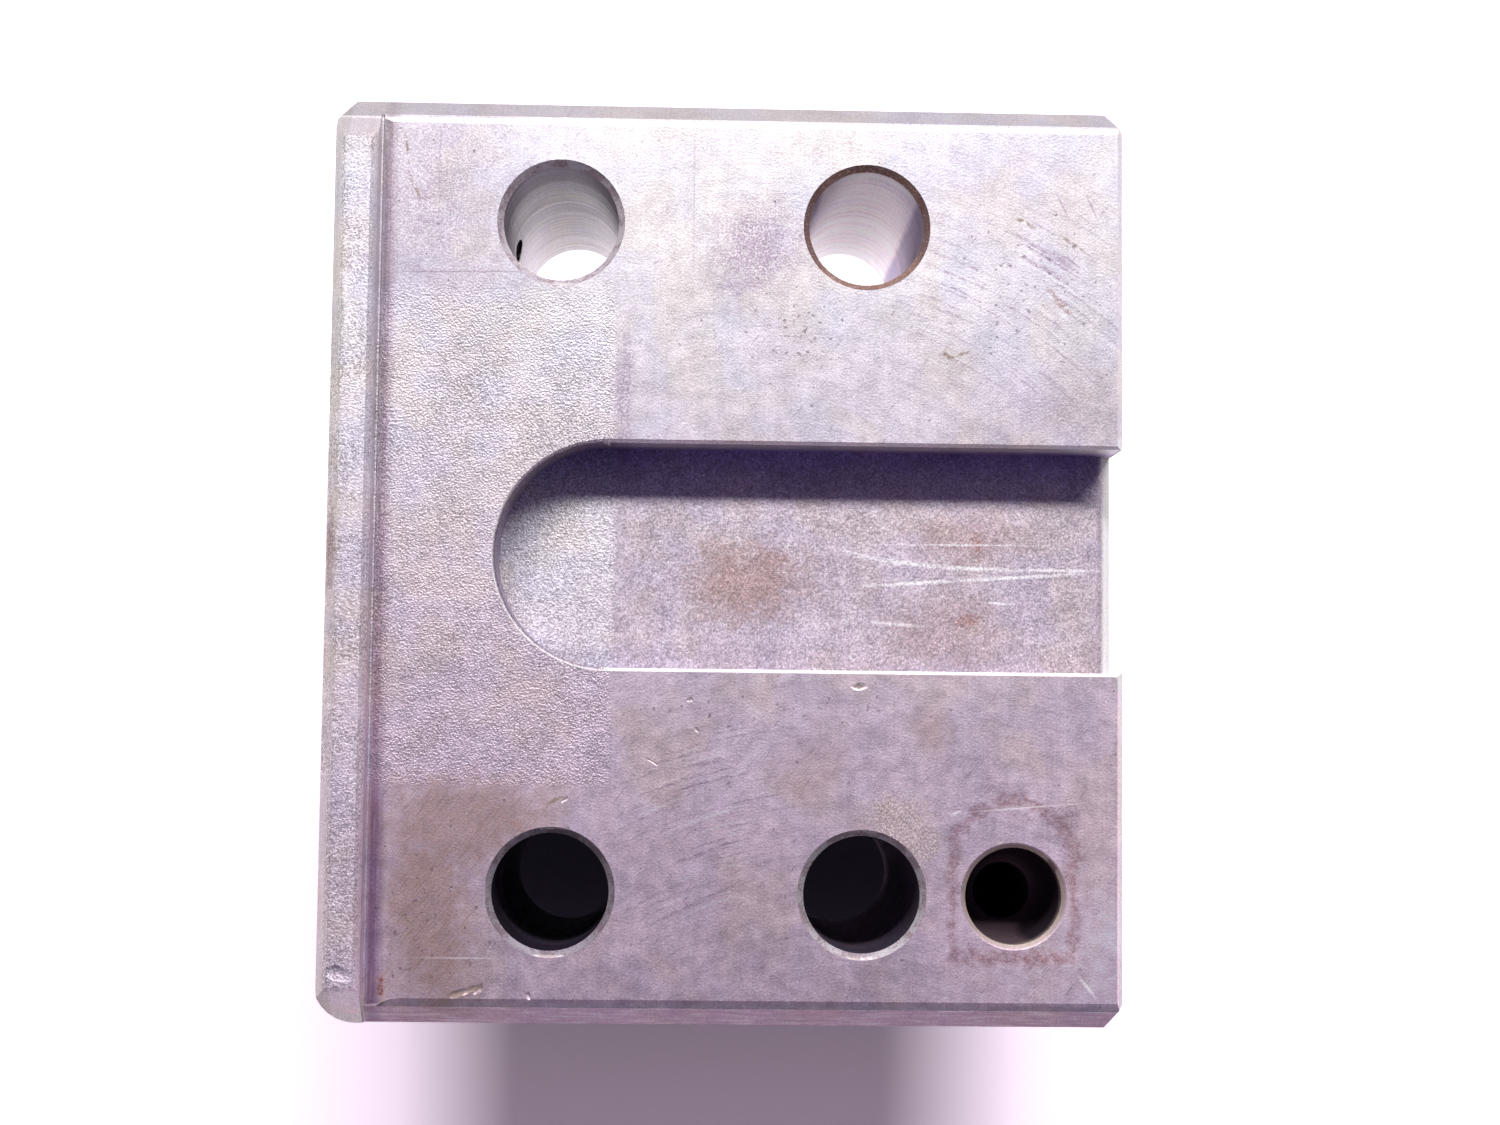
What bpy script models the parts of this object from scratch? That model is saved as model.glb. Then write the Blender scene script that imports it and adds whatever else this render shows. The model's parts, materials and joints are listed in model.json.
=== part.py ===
# Boring bar holder block: a steel block milled from solid, with the plug of its coolant passage.
# The block stands on its back. Its turret seat faces up and the locating lip runs along the -X edge.
# The bar goes through the block along X, below the seat. Lengths are in metres.

import bpy
import bmesh
from math import acos, cos, pi, radians, sin, tan
from mathutils import Matrix

MM = 0.001

# Outside of the block
BLOCK_WIDTH = 95.7 * MM
BLOCK_LENGTH = 111.5 * MM
SEAT_HEIGHT = 82.5 * MM
FLANGE_THICKNESS = 51.5 * MM
HUMP_WIDTH = 60.0 * MM
HUMP_FILLET_RADIUS = 2.0 * MM
CORNER_CHAMFER_X = 1.9 * MM
CORNER_CHAMFER_Y = 2.9 * MM
LIP_CORNER_RADIUS = 4.2 * MM
SEAT_EDGE_CHAMFER = 2.45 * MM
SEAT_BAND_WIDTH = 1.0 * MM
SEAT_BAND_SLOPE = radians(20.0)
SEAT_BAND_END_RADIUS = 4.1 * MM
FRONT_EDGE_CHAMFER = 0.7 * MM
BACK_EDGE_CHAMFER = 1.0 * MM
HUMP_EDGE_CHAMFER = 1.3 * MM
FLANGE_EDGE_CHAMFER = 0.9 * MM

# Locating lip, undercut by a narrow groove at its foot, with a shallow relief beside the groove
LIP_HEIGHT = 3.3 * MM
LIP_WIDTH = 5.2 * MM
LIP_OUTER_CHAMFER = 1.4 * MM
LIP_INNER_CHAMFER = 0.8 * MM
LIP_END_CHAMFER = 4.65 * MM
GROOVE_RADIUS = 0.25 * MM
GROOVE_UNDERCUT = 0.1 * MM
RELIEF_WIDTH = 1.0 * MM
RELIEF_DEPTH = 0.15 * MM

# Bolt holes through the flanges
BOLT_SPACING_X = 37.2 * MM
BOLT_SPACING_Y = 80.7 * MM
BOLT_PATTERN_X = -2.1 * MM
BOLT_PATTERN_Y = 0.3 * MM
BOLT_HOLE_RADIUS = 7.0 * MM
BOLT_HOLE_CHAMFER = 0.75 * MM
SPOT_FACE_RADIUS = 9.5 * MM
SPOT_FACE_DEPTH = 1.0 * MM

# Key slot across the seat, full round at its closed end
SLOT_WIDTH = 27.2 * MM
SLOT_DEPTH = 7.5 * MM
SLOT_END_FROM_PATTERN = 12.3 * MM
SLOT_EDGE_CHAMFER = 0.4 * MM
SLOT_MOUTH_CHAMFER = 2.1 * MM

# Bar bore and the clamp screw holes that open into it from the back
BAR_BORE_RADIUS = 20.0 * MM
BAR_BORE_BELOW_SEAT = 40.0 * MM
BAR_BORE_CHAMFER = 1.5 * MM
CLAMP_HOLE_RADIUS = 5.1 * MM
CLAMP_HOLE_CHAMFER = 1.0 * MM
CLAMP_HOLE_SPACING = 50.0 * MM

# Coolant inlet in the seat, the drilling below it and the cross drilling from the -Y side
INLET_FROM_BOLT_COLUMN = 18.2 * MM
INLET_RADIUS = 5.8 * MM
INLET_DEPTH = 10.5 * MM
INLET_CHAMFER = 0.6 * MM
INLET_DRILL_RADIUS = 3.5 * MM
CROSS_DRILL_RADIUS = 4.0 * MM
DRILL_POINT_SLOPE = radians(31.0)

# Plug that closes the cross drilling
PLUG_RADIUS = 4.85 * MM
PLUG_LENGTH = 8.0 * MM
PLUG_RECESS = 1.0 * MM
PLUG_CHAMFER = 0.5 * MM
PLUG_CLEARANCE = 0.3 * MM
PLUG_SOCKET_WIDTH = 5.0 * MM
PLUG_SOCKET_DEPTH = 4.5 * MM

# Fineness of round work, and how far a cutter runs past the face it cuts
BORE_STEPS = 64
HOLE_STEPS = 48
ARC_STEPS = 6
OVERRUN = 2.0 * MM

# Places worked out from the sizes above
HALF_WIDTH = BLOCK_WIDTH / 2
HALF_LENGTH = BLOCK_LENGTH / 2
HALF_HUMP = HUMP_WIDTH / 2
SHOULDER_HEIGHT = SEAT_HEIGHT - FLANGE_THICKNESS
CREST_HEIGHT = SEAT_HEIGHT + LIP_HEIGHT
LIP_INNER_X = LIP_WIDTH - HALF_WIDTH
GROOVE_CENTRE_X = LIP_INNER_X + GROOVE_RADIUS - GROOVE_UNDERCUT
GROOVE_EDGE_X = GROOVE_CENTRE_X + GROOVE_RADIUS
BOLT_COLUMNS_X = [BOLT_PATTERN_X + side * BOLT_SPACING_X / 2 for side in (-1, 1)]
BOLT_ROWS_Y = [BOLT_PATTERN_Y + side * BOLT_SPACING_Y / 2 for side in (-1, 1)]
BORE_HEIGHT = SEAT_HEIGHT - BAR_BORE_BELOW_SEAT
SLOT_END_X = BOLT_PATTERN_X - SLOT_END_FROM_PATTERN
SLOT_FLOOR_HEIGHT = SEAT_HEIGHT - SLOT_DEPTH
INLET_X = BOLT_COLUMNS_X[1] + INLET_FROM_BOLT_COLUMN
INLET_Y = BOLT_ROWS_Y[0]

# Turns from the drawing plane of an outline to the plane it is extruded across
ALONG_X = Matrix(((0, 0, 1, 0), (1, 0, 0, 0), (0, 1, 0, 0), (0, 0, 0, 1)))
ALONG_Y = Matrix(((1, 0, 0, 0), (0, 0, -1, 0), (0, 1, 0, 0), (0, 0, 0, 1)))
TURNED_TO_X = Matrix.Rotation(pi / 2, 4, "Y")
TURNED_TO_MINUS_Y = Matrix.Rotation(pi / 2, 4, "X")
TURNED_OVER = Matrix.Rotation(pi, 4, "X")


def clear_scene():
    for item in list(bpy.data.objects):
        bpy.data.objects.remove(item, do_unlink=True)


def new_collection(name):
    collection = bpy.data.collections.new(name)
    bpy.context.scene.collection.children.link(collection)
    return collection


def steel_material(name, colour, roughness):
    material = bpy.data.materials.new(name)
    material.use_nodes = True
    shader = material.node_tree.nodes["Principled BSDF"]
    shader.inputs["Base Color"].default_value = (*colour, 1.0)
    shader.inputs["Metallic"].default_value = 1.0
    shader.inputs["Roughness"].default_value = roughness
    return material


def arc(centre, radius, start, end, steps=ARC_STEPS):
    """Points of an arc in the drawing plane, both ends included."""
    angles = [start + (end - start) * i / steps for i in range(steps + 1)]
    return [(centre[0] + radius * cos(a), centre[1] + radius * sin(a)) for a in angles]


def run_past(inner, outer):
    """A point on the line from inner through outer, as far again past outer."""
    return (2 * outer[0] - inner[0], 2 * outer[1] - inner[1])


def made_mesh(source, name, collection):
    """The evaluated shape of an object as a plain mesh object in its place; the source goes."""
    bpy.context.view_layer.update()
    graph = bpy.context.evaluated_depsgraph_get()
    mesh = bpy.data.meshes.new_from_object(source.evaluated_get(graph))
    mesh.transform(source.matrix_world)
    cleaned = bmesh.new()
    cleaned.from_mesh(mesh)
    bmesh.ops.remove_doubles(cleaned, verts=cleaned.verts, dist=0.001 * MM)
    bmesh.ops.recalc_face_normals(cleaned, faces=cleaned.faces)
    cleaned.to_mesh(mesh)
    cleaned.free()
    bpy.data.objects.remove(source, do_unlink=True)
    result = bpy.data.objects.new(name, mesh)
    collection.objects.link(result)
    return result


def prism(name, outline, depth, placement, collection, edge=0.0):
    """An outline extruded to both sides of its plane; edge flares its middle at 45 degrees."""
    curve = bpy.data.curves.new(name, "CURVE")
    curve.dimensions = "2D"
    curve.fill_mode = "BOTH"
    curve.extrude = depth / 2
    curve.bevel_depth = edge
    curve.bevel_resolution = 0
    spline = curve.splines.new("POLY")
    spline.points.add(len(outline) - 1)
    for point, (u, v) in zip(spline.points, outline):
        point.co = (u, v, 0.0, 1.0)
    spline.use_cyclic_u = True
    drawn = bpy.data.objects.new(name + "_outline", curve)
    collection.objects.link(drawn)
    drawn.matrix_world = placement
    return made_mesh(drawn, name, collection)


def turned(name, profile, placement, collection, steps=HOLE_STEPS):
    """A profile of radius and height, from top to bottom, turned round its own Z axis.

    It is turned on by half a step, so that crossing bores meet between their corners.
    """
    mesh = bpy.data.meshes.new(name)
    edges = [(i, i + 1) for i in range(len(profile) - 1)]
    mesh.from_pydata([(radius, 0.0, height) for radius, height in profile], edges, [])
    drawn = bpy.data.objects.new(name + "_profile", mesh)
    collection.objects.link(drawn)
    screw = drawn.modifiers.new("turn", "SCREW")
    screw.steps = steps
    screw.render_steps = steps
    screw.use_merge_vertices = True
    screw.merge_threshold = 0.001 * MM
    drawn.matrix_world = placement @ Matrix.Rotation(pi / steps, 4, "Z")
    return made_mesh(drawn, name, collection)


def cut(part, cutter):
    cutter.display_type = "WIRE"
    cutter.hide_render = True
    boolean = part.modifiers.new(cutter.name, "BOOLEAN")
    boolean.operation = "DIFFERENCE"
    boolean.solver = "EXACT"
    boolean.object = cutter


def stock(collection):
    """Side profile of the block with its lip, relief groove and front and back chamfers."""
    crest_end = CREST_HEIGHT - LIP_OUTER_CHAMFER
    groove_centre = (GROOVE_CENTRE_X, SEAT_HEIGHT - RELIEF_DEPTH)
    groove_end = -pi - acos(1 - GROOVE_UNDERCUT / GROOVE_RADIUS)
    outline = [
        (BACK_EDGE_CHAMFER - HALF_WIDTH, 0.0),
        (HALF_WIDTH - BACK_EDGE_CHAMFER, 0.0),
        (HALF_WIDTH, BACK_EDGE_CHAMFER),
        (HALF_WIDTH, SEAT_HEIGHT - FRONT_EDGE_CHAMFER),
        (HALF_WIDTH - FRONT_EDGE_CHAMFER, SEAT_HEIGHT),
        (GROOVE_EDGE_X + RELIEF_WIDTH, SEAT_HEIGHT),
        *arc(groove_centre, GROOVE_RADIUS, 0.0, groove_end),
        (LIP_INNER_X, CREST_HEIGHT - LIP_INNER_CHAMFER),
        (LIP_INNER_X - LIP_INNER_CHAMFER, CREST_HEIGHT),
        (LIP_OUTER_CHAMFER - HALF_WIDTH, CREST_HEIGHT),
        (-HALF_WIDTH, crest_end),
        (-HALF_WIDTH, BACK_EDGE_CHAMFER),
    ]
    return prism("holder_block", outline, BLOCK_LENGTH, ALONG_Y, collection)


def both_ends(name, outline, cutters):
    """An outline of Y and Z, and its mirror image, each run along X past both sides."""
    depth = BLOCK_WIDTH + 2 * OVERRUN
    mirrored = [(-y, z) for y, z in reversed(outline)]
    yield prism(name + "_plus_y", outline, depth, ALONG_X, cutters)
    yield prism(name + "_minus_y", mirrored, depth, ALONG_X, cutters)


def flange_cutters(cutters):
    """What is milled away beside the hump to leave the two flanges."""
    fillet_centre = (HALF_HUMP + HUMP_FILLET_RADIUS, SHOULDER_HEIGHT - HUMP_FILLET_RADIUS)
    outline = [
        (HALF_HUMP - HUMP_EDGE_CHAMFER - OVERRUN, -OVERRUN),
        (HALF_LENGTH + OVERRUN, -OVERRUN),
        (HALF_LENGTH + OVERRUN, SHOULDER_HEIGHT + FLANGE_EDGE_CHAMFER + OVERRUN),
        (HALF_LENGTH - FLANGE_EDGE_CHAMFER, SHOULDER_HEIGHT),
        *arc(fillet_centre, HUMP_FILLET_RADIUS, pi / 2, pi),
        (HALF_HUMP, HUMP_EDGE_CHAMFER),
    ]
    return both_ends("flange_cut", outline, cutters)


def end_chamfer_outline(side, size):
    """What a 45 degree chamfer of the crest's height takes off one end, in Y and Z."""
    return [
        (side * (HALF_LENGTH + OVERRUN), CREST_HEIGHT - size - OVERRUN),
        (side * (HALF_LENGTH + OVERRUN), CREST_HEIGHT + OVERRUN),
        (side * (HALF_LENGTH - size - OVERRUN), CREST_HEIGHT + OVERRUN),
    ]


def end_chamfer_cutters(cutters):
    """One plane right across the +Y end; at -Y the seat's plane lies a little lower than the lip's."""
    seat_size = LIP_HEIGHT + SEAT_EDGE_CHAMFER
    depth = BLOCK_WIDTH + 2 * OVERRUN
    yield prism("end_chamfer_plus_y", end_chamfer_outline(1, seat_size), depth, ALONG_X, cutters)
    yield prism("lip_end_chamfer", end_chamfer_outline(-1, LIP_END_CHAMFER), depth, ALONG_X, cutters)
    start_x = LIP_INNER_X - GROOVE_UNDERCUT / 2
    past_lip = Matrix.Translation((start_x + depth / 2, 0, 0)) @ ALONG_X
    yield prism("seat_end_chamfer", end_chamfer_outline(-1, seat_size), depth, past_lip, cutters)


def seat_band_cutter(name, side, rounded, cutters):
    """A shallow sloping band along the seat's edge, which fades out in an arc before the lip."""
    start_x = GROOVE_CENTRE_X
    chamfer_start = HALF_LENGTH - SEAT_EDGE_CHAMFER
    inner_y = chamfer_start + SEAT_BAND_WIDTH * (tan(SEAT_BAND_SLOPE) - 1)
    far_x = HALF_WIDTH + OVERRUN
    far_y = SEAT_EDGE_CHAMFER + SEAT_BAND_END_RADIUS + OVERRUN
    if rounded:
        start = arc((start_x + SEAT_BAND_END_RADIUS, SEAT_BAND_END_RADIUS), SEAT_BAND_END_RADIUS, -pi, -pi / 2)
    else:
        start = [(start_x, 0.0)]
    outline = [(start_x, far_y), *start, (far_x, 0.0), (far_x, far_y)]
    thickness = 2 * OVERRUN
    tilt = Matrix.Rotation(-SEAT_BAND_SLOPE, 4, "X") @ Matrix.Translation((0, 0, thickness / 2))
    placement = Matrix.Translation((0, inner_y, SEAT_HEIGHT)) @ tilt
    mirror = Matrix.Diagonal((1, side, 1, 1))
    return prism(name, outline, thickness, mirror @ placement, cutters)


def corner_cutters(cutters):
    """Chamfers on three upright corners, and a round on the fourth, at the lip's -Y end."""
    depth = 2 * (CREST_HEIGHT + OVERRUN)
    for name, side_x, side_y in (("front_plus_y", 1, 1), ("front_minus_y", 1, -1), ("lip_plus_y", -1, 1)):
        outline = [
            (side_x * (HALF_WIDTH - 2 * CORNER_CHAMFER_X), side_y * (HALF_LENGTH + CORNER_CHAMFER_Y)),
            (side_x * (HALF_WIDTH + CORNER_CHAMFER_X), side_y * (HALF_LENGTH - 2 * CORNER_CHAMFER_Y)),
            (side_x * (HALF_WIDTH + CORNER_CHAMFER_X), side_y * (HALF_LENGTH + CORNER_CHAMFER_Y)),
        ]
        yield prism("corner_" + name, outline, depth, Matrix.Identity(4), cutters)
    centre = (LIP_CORNER_RADIUS - HALF_WIDTH, LIP_CORNER_RADIUS - HALF_LENGTH)
    chords = arc(centre, LIP_CORNER_RADIUS, pi, 1.5 * pi)
    outline = [
        run_past(chords[1], chords[0]),
        *chords[1:-1],
        run_past(chords[-2], chords[-1]),
        (centre[0], -HALF_LENGTH - OVERRUN),
        (-HALF_WIDTH - OVERRUN, -HALF_LENGTH - OVERRUN),
        (-HALF_WIDTH - OVERRUN, centre[1]),
    ]
    yield prism("corner_lip_minus_y", outline, depth, Matrix.Identity(4), cutters)


def slot_outline():
    radius = SLOT_WIDTH / 2
    far_x = HALF_WIDTH + OVERRUN
    round_end = arc((SLOT_END_X, BOLT_PATTERN_Y), radius, pi / 2, 1.5 * pi, BORE_STEPS // 2)
    return [*round_end, (far_x, BOLT_PATTERN_Y - radius), (far_x, BOLT_PATTERN_Y + radius)]


def slot_cutters(cutters):
    """The slot with its chamfered floor at the mouth, and the chamfer round its upper edge."""
    deepest = SLOT_DEPTH + SLOT_MOUTH_CHAMFER + OVERRUN
    height = deepest + OVERRUN
    centre = Matrix.Translation((0, 0, SEAT_HEIGHT + OVERRUN - height / 2))
    slot = prism("key_slot_cut", slot_outline(), height, centre, cutters)
    floor_outline = [
        (SLOT_END_X - SLOT_WIDTH, SLOT_FLOOR_HEIGHT - height),
        (HALF_WIDTH + 2 * OVERRUN, SLOT_FLOOR_HEIGHT - height),
        (HALF_WIDTH + 2 * OVERRUN, SLOT_FLOOR_HEIGHT - SLOT_MOUTH_CHAMFER - 2 * OVERRUN),
        (HALF_WIDTH - SLOT_MOUTH_CHAMFER, SLOT_FLOOR_HEIGHT),
        (SLOT_END_X - SLOT_WIDTH, SLOT_FLOOR_HEIGHT),
    ]
    floor = prism("key_slot_floor", floor_outline, 2 * SLOT_WIDTH, ALONG_Y, cutters)
    cut(slot, floor)
    slot = made_mesh(slot, "key_slot", cutters)
    yield slot
    placement = Matrix.Translation((0, 0, SEAT_HEIGHT))
    yield prism("key_slot_edge", slot_outline(), 0.0, placement, cutters, edge=SLOT_EDGE_CHAMFER)


def bolt_hole_cutters(cutters):
    """Four bolt holes through the flanges, chamfered at the seat and spot-faced at the back."""
    spot_height = SHOULDER_HEIGHT + SPOT_FACE_DEPTH
    flare = BOLT_HOLE_RADIUS + BOLT_HOLE_CHAMFER + OVERRUN
    profile = [
        (0.0, SEAT_HEIGHT + OVERRUN),
        (flare, SEAT_HEIGHT + OVERRUN),
        (BOLT_HOLE_RADIUS, SEAT_HEIGHT - BOLT_HOLE_CHAMFER),
        (BOLT_HOLE_RADIUS, spot_height),
        (SPOT_FACE_RADIUS, spot_height),
        (SPOT_FACE_RADIUS, SHOULDER_HEIGHT - HUMP_FILLET_RADIUS - OVERRUN),
        (0.0, SHOULDER_HEIGHT - HUMP_FILLET_RADIUS - OVERRUN),
    ]
    for column, x in enumerate(BOLT_COLUMNS_X):
        for row, y in enumerate(BOLT_ROWS_Y):
            name = f"bolt_hole_{column}_{row}"
            yield turned(name, profile, Matrix.Translation((x, y, 0)), cutters)


def bar_bore_cutter(cutters):
    """The bar bore right through along X, chamfered at both mouths."""
    flare = BAR_BORE_RADIUS + BAR_BORE_CHAMFER + OVERRUN
    profile = [
        (0.0, HALF_WIDTH + OVERRUN),
        (flare, HALF_WIDTH + OVERRUN),
        (BAR_BORE_RADIUS, HALF_WIDTH - BAR_BORE_CHAMFER),
        (BAR_BORE_RADIUS, BAR_BORE_CHAMFER - HALF_WIDTH),
        (flare, -HALF_WIDTH - OVERRUN),
        (0.0, -HALF_WIDTH - OVERRUN),
    ]
    placement = Matrix.Translation((0, 0, BORE_HEIGHT)) @ TURNED_TO_X
    return turned("bar_bore", profile, placement, cutters, BORE_STEPS)


def clamp_hole_cutters(cutters):
    """Two holes at tapping size from the back of the hump into the bar bore."""
    flare = CLAMP_HOLE_RADIUS + CLAMP_HOLE_CHAMFER + OVERRUN
    profile = [
        (0.0, BORE_HEIGHT),
        (CLAMP_HOLE_RADIUS, BORE_HEIGHT),
        (CLAMP_HOLE_RADIUS, CLAMP_HOLE_CHAMFER),
        (flare, -OVERRUN),
        (0.0, -OVERRUN),
    ]
    for index, side in enumerate((-1, 1)):
        place = Matrix.Translation((side * CLAMP_HOLE_SPACING / 2, 0, 0))
        yield turned(f"clamp_hole_{index}", profile, place, cutters)


def inlet_cutter(cutters):
    """The coolant inlet: a chamfered counterbore, then a drilling down to the cross drilling."""
    flare = INLET_RADIUS + INLET_CHAMFER + OVERRUN
    floor = SEAT_HEIGHT - INLET_DEPTH
    step = (INLET_RADIUS - INLET_DRILL_RADIUS) * tan(DRILL_POINT_SLOPE)
    point = INLET_DRILL_RADIUS * tan(DRILL_POINT_SLOPE)
    profile = [
        (0.0, SEAT_HEIGHT + OVERRUN),
        (flare, SEAT_HEIGHT + OVERRUN),
        (INLET_RADIUS, SEAT_HEIGHT - INLET_CHAMFER),
        (INLET_RADIUS, floor),
        (INLET_DRILL_RADIUS, floor - step),
        (INLET_DRILL_RADIUS, BORE_HEIGHT),
        (0.0, BORE_HEIGHT - point),
    ]
    return turned("coolant_inlet", profile, Matrix.Translation((INLET_X, INLET_Y, 0)), cutters)


def cross_drilling_cutter(cutters):
    """From the -Y side past the inlet into the bar bore, opened out at the mouth for the plug."""
    seat_radius = PLUG_RADIUS + PLUG_CLEARANCE
    seat_floor = HALF_LENGTH - PLUG_RECESS - PLUG_LENGTH - PLUG_CLEARANCE
    profile = [
        (0.0, HALF_LENGTH + OVERRUN),
        (seat_radius, HALF_LENGTH + OVERRUN),
        (seat_radius, seat_floor),
        (CROSS_DRILL_RADIUS, seat_floor),
        (CROSS_DRILL_RADIUS, 0.0),
        (0.0, 0.0),
    ]
    placement = Matrix.Translation((INLET_X, 0, BORE_HEIGHT)) @ TURNED_TO_MINUS_Y
    return turned("cross_drilling", profile, placement, cutters)


def build_block(parts, cutters):
    block = stock(parts)
    tools = [
        *flange_cutters(cutters),
        *end_chamfer_cutters(cutters),
        *corner_cutters(cutters),
        seat_band_cutter("seat_band_plus_y", 1, False, cutters),
        seat_band_cutter("seat_band_minus_y", -1, True, cutters),
        *slot_cutters(cutters),
        *bolt_hole_cutters(cutters),
        bar_bore_cutter(cutters),
        *clamp_hole_cutters(cutters),
        inlet_cutter(cutters),
        cross_drilling_cutter(cutters),
    ]
    for tool in tools:
        cut(block, tool)
    block.data.materials.append(steel_material("block_steel", (0.55, 0.52, 0.56), 0.42))
    return block


def build_plug(parts, cutters):
    """A round screwed plug with a hexagon socket, seated in the mouth of the cross drilling."""
    profile = [
        (0.0, 0.0),
        (PLUG_RADIUS - PLUG_CHAMFER, 0.0),
        (PLUG_RADIUS, -PLUG_CHAMFER),
        (PLUG_RADIUS, PLUG_CHAMFER - PLUG_LENGTH),
        (PLUG_RADIUS - PLUG_CHAMFER, -PLUG_LENGTH),
        (0.0, -PLUG_LENGTH),
    ]
    mouth = Matrix.Translation((INLET_X, PLUG_RECESS - HALF_LENGTH, BORE_HEIGHT)) @ TURNED_TO_MINUS_Y
    plug = turned("coolant_plug", profile, mouth, parts)
    corner_radius = PLUG_SOCKET_WIDTH / 2 / cos(pi / 6)
    hexagon = arc((0.0, 0.0), corner_radius, 0.0, 2 * pi, 6)[:-1]
    socket = prism("plug_socket", hexagon, 2 * PLUG_SOCKET_DEPTH, mouth, cutters)
    cut(plug, socket)
    plug.data.materials.append(steel_material("plug_steel", (0.16, 0.15, 0.17), 0.5))
    return plug


def shade(part):
    part.data.shade_smooth()
    part.data.set_sharp_from_angle(angle=radians(30.0))


def main():
    clear_scene()
    parts = new_collection("boring_bar_holder_block")
    cutters = new_collection("cutters")
    for part in (build_block(parts, cutters), build_plug(parts, cutters)):
        shade(part)


main()
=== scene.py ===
"""Looks of a boring bar holder block: worn steel, its dents and nicks, a pale table and a soft lamp."""

import json
import logging
import math
from dataclasses import dataclass
from enum import Enum

import bpy
from mathutils import Euler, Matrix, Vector

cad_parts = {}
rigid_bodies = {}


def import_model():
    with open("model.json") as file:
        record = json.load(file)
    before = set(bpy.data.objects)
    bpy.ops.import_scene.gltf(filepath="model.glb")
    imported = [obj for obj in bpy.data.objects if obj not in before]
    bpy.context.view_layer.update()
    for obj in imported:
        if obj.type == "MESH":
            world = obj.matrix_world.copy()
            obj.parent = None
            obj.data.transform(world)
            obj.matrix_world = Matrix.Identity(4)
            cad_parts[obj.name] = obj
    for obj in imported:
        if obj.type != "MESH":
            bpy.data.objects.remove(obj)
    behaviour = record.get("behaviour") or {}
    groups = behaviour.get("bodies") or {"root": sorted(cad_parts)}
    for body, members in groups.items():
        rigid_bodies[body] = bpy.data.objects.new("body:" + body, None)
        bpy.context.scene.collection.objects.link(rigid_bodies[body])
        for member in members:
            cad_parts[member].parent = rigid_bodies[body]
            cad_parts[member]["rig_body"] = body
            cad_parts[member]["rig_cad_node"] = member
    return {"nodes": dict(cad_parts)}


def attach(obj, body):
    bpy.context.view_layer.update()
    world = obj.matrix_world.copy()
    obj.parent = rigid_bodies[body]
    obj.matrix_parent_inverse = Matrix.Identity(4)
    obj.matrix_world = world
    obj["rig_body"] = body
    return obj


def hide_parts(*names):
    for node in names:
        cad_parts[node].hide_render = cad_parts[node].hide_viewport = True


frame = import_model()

LOG = logging.getLogger("holder_block_looks")

MM = 0.001
BODY = "root"

Colour = tuple[float, float, float]
Place = tuple[float, float]
Place3 = tuple[float, float, float]
Number = "float | Value"
Socket = bpy.types.NodeSocket


class Value:
    """One number socket, which Python's operators join with Math nodes."""

    def __init__(self, recipe: "Recipe", socket: Socket) -> None:
        """Keeps the socket and the recipe that its tree belongs to."""
        self.recipe = recipe
        self.socket = socket

    def __add__(self, other: Number) -> "Value":
        """Sum."""
        return self.recipe.maths("ADD", self, other)

    def __sub__(self, other: Number) -> "Value":
        """Difference."""
        return self.recipe.maths("SUBTRACT", self, other)

    def __rsub__(self, other: Number) -> "Value":
        """Difference from a number."""
        return self.recipe.maths("SUBTRACT", other, self)

    def __mul__(self, other: Number) -> "Value":
        """Product."""
        return self.recipe.maths("MULTIPLY", self, other)

    def __truediv__(self, other: Number) -> "Value":
        """Quotient."""
        return self.recipe.maths("DIVIDE", self, other)

    def __abs__(self) -> "Value":
        """Size without the sign."""
        return self.recipe.maths("ABSOLUTE", self)

    __radd__ = __add__
    __rmul__ = __mul__

    def larger(self, other: Number) -> "Value":
        """The larger of two values."""
        return self.recipe.maths("MAXIMUM", self, other)

    def smaller(self, other: Number) -> "Value":
        """The smaller of two values."""
        return self.recipe.maths("MINIMUM", self, other)

    def rising(self, start: float, end: float) -> "Value":
        """A smooth step from 0 to 1.

        Args:
            start: The value at which the step is still 0.
            end: The value from which it is 1; below start, the step falls instead.

        Returns:
            The step, between 0 and 1.
        """
        low, high = sorted((start, end))
        first, last = (0.0, 1.0) if start < end else (1.0, 0.0)
        step = self.recipe.node(
            "ShaderNodeMapRange",
            {"interpolation_type": "SMOOTHSTEP"},
            {"Value": self, "From Min": low, "From Max": high, "To Min": first, "To Max": last},
        )
        return Value(self.recipe, step.outputs["Result"])


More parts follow.
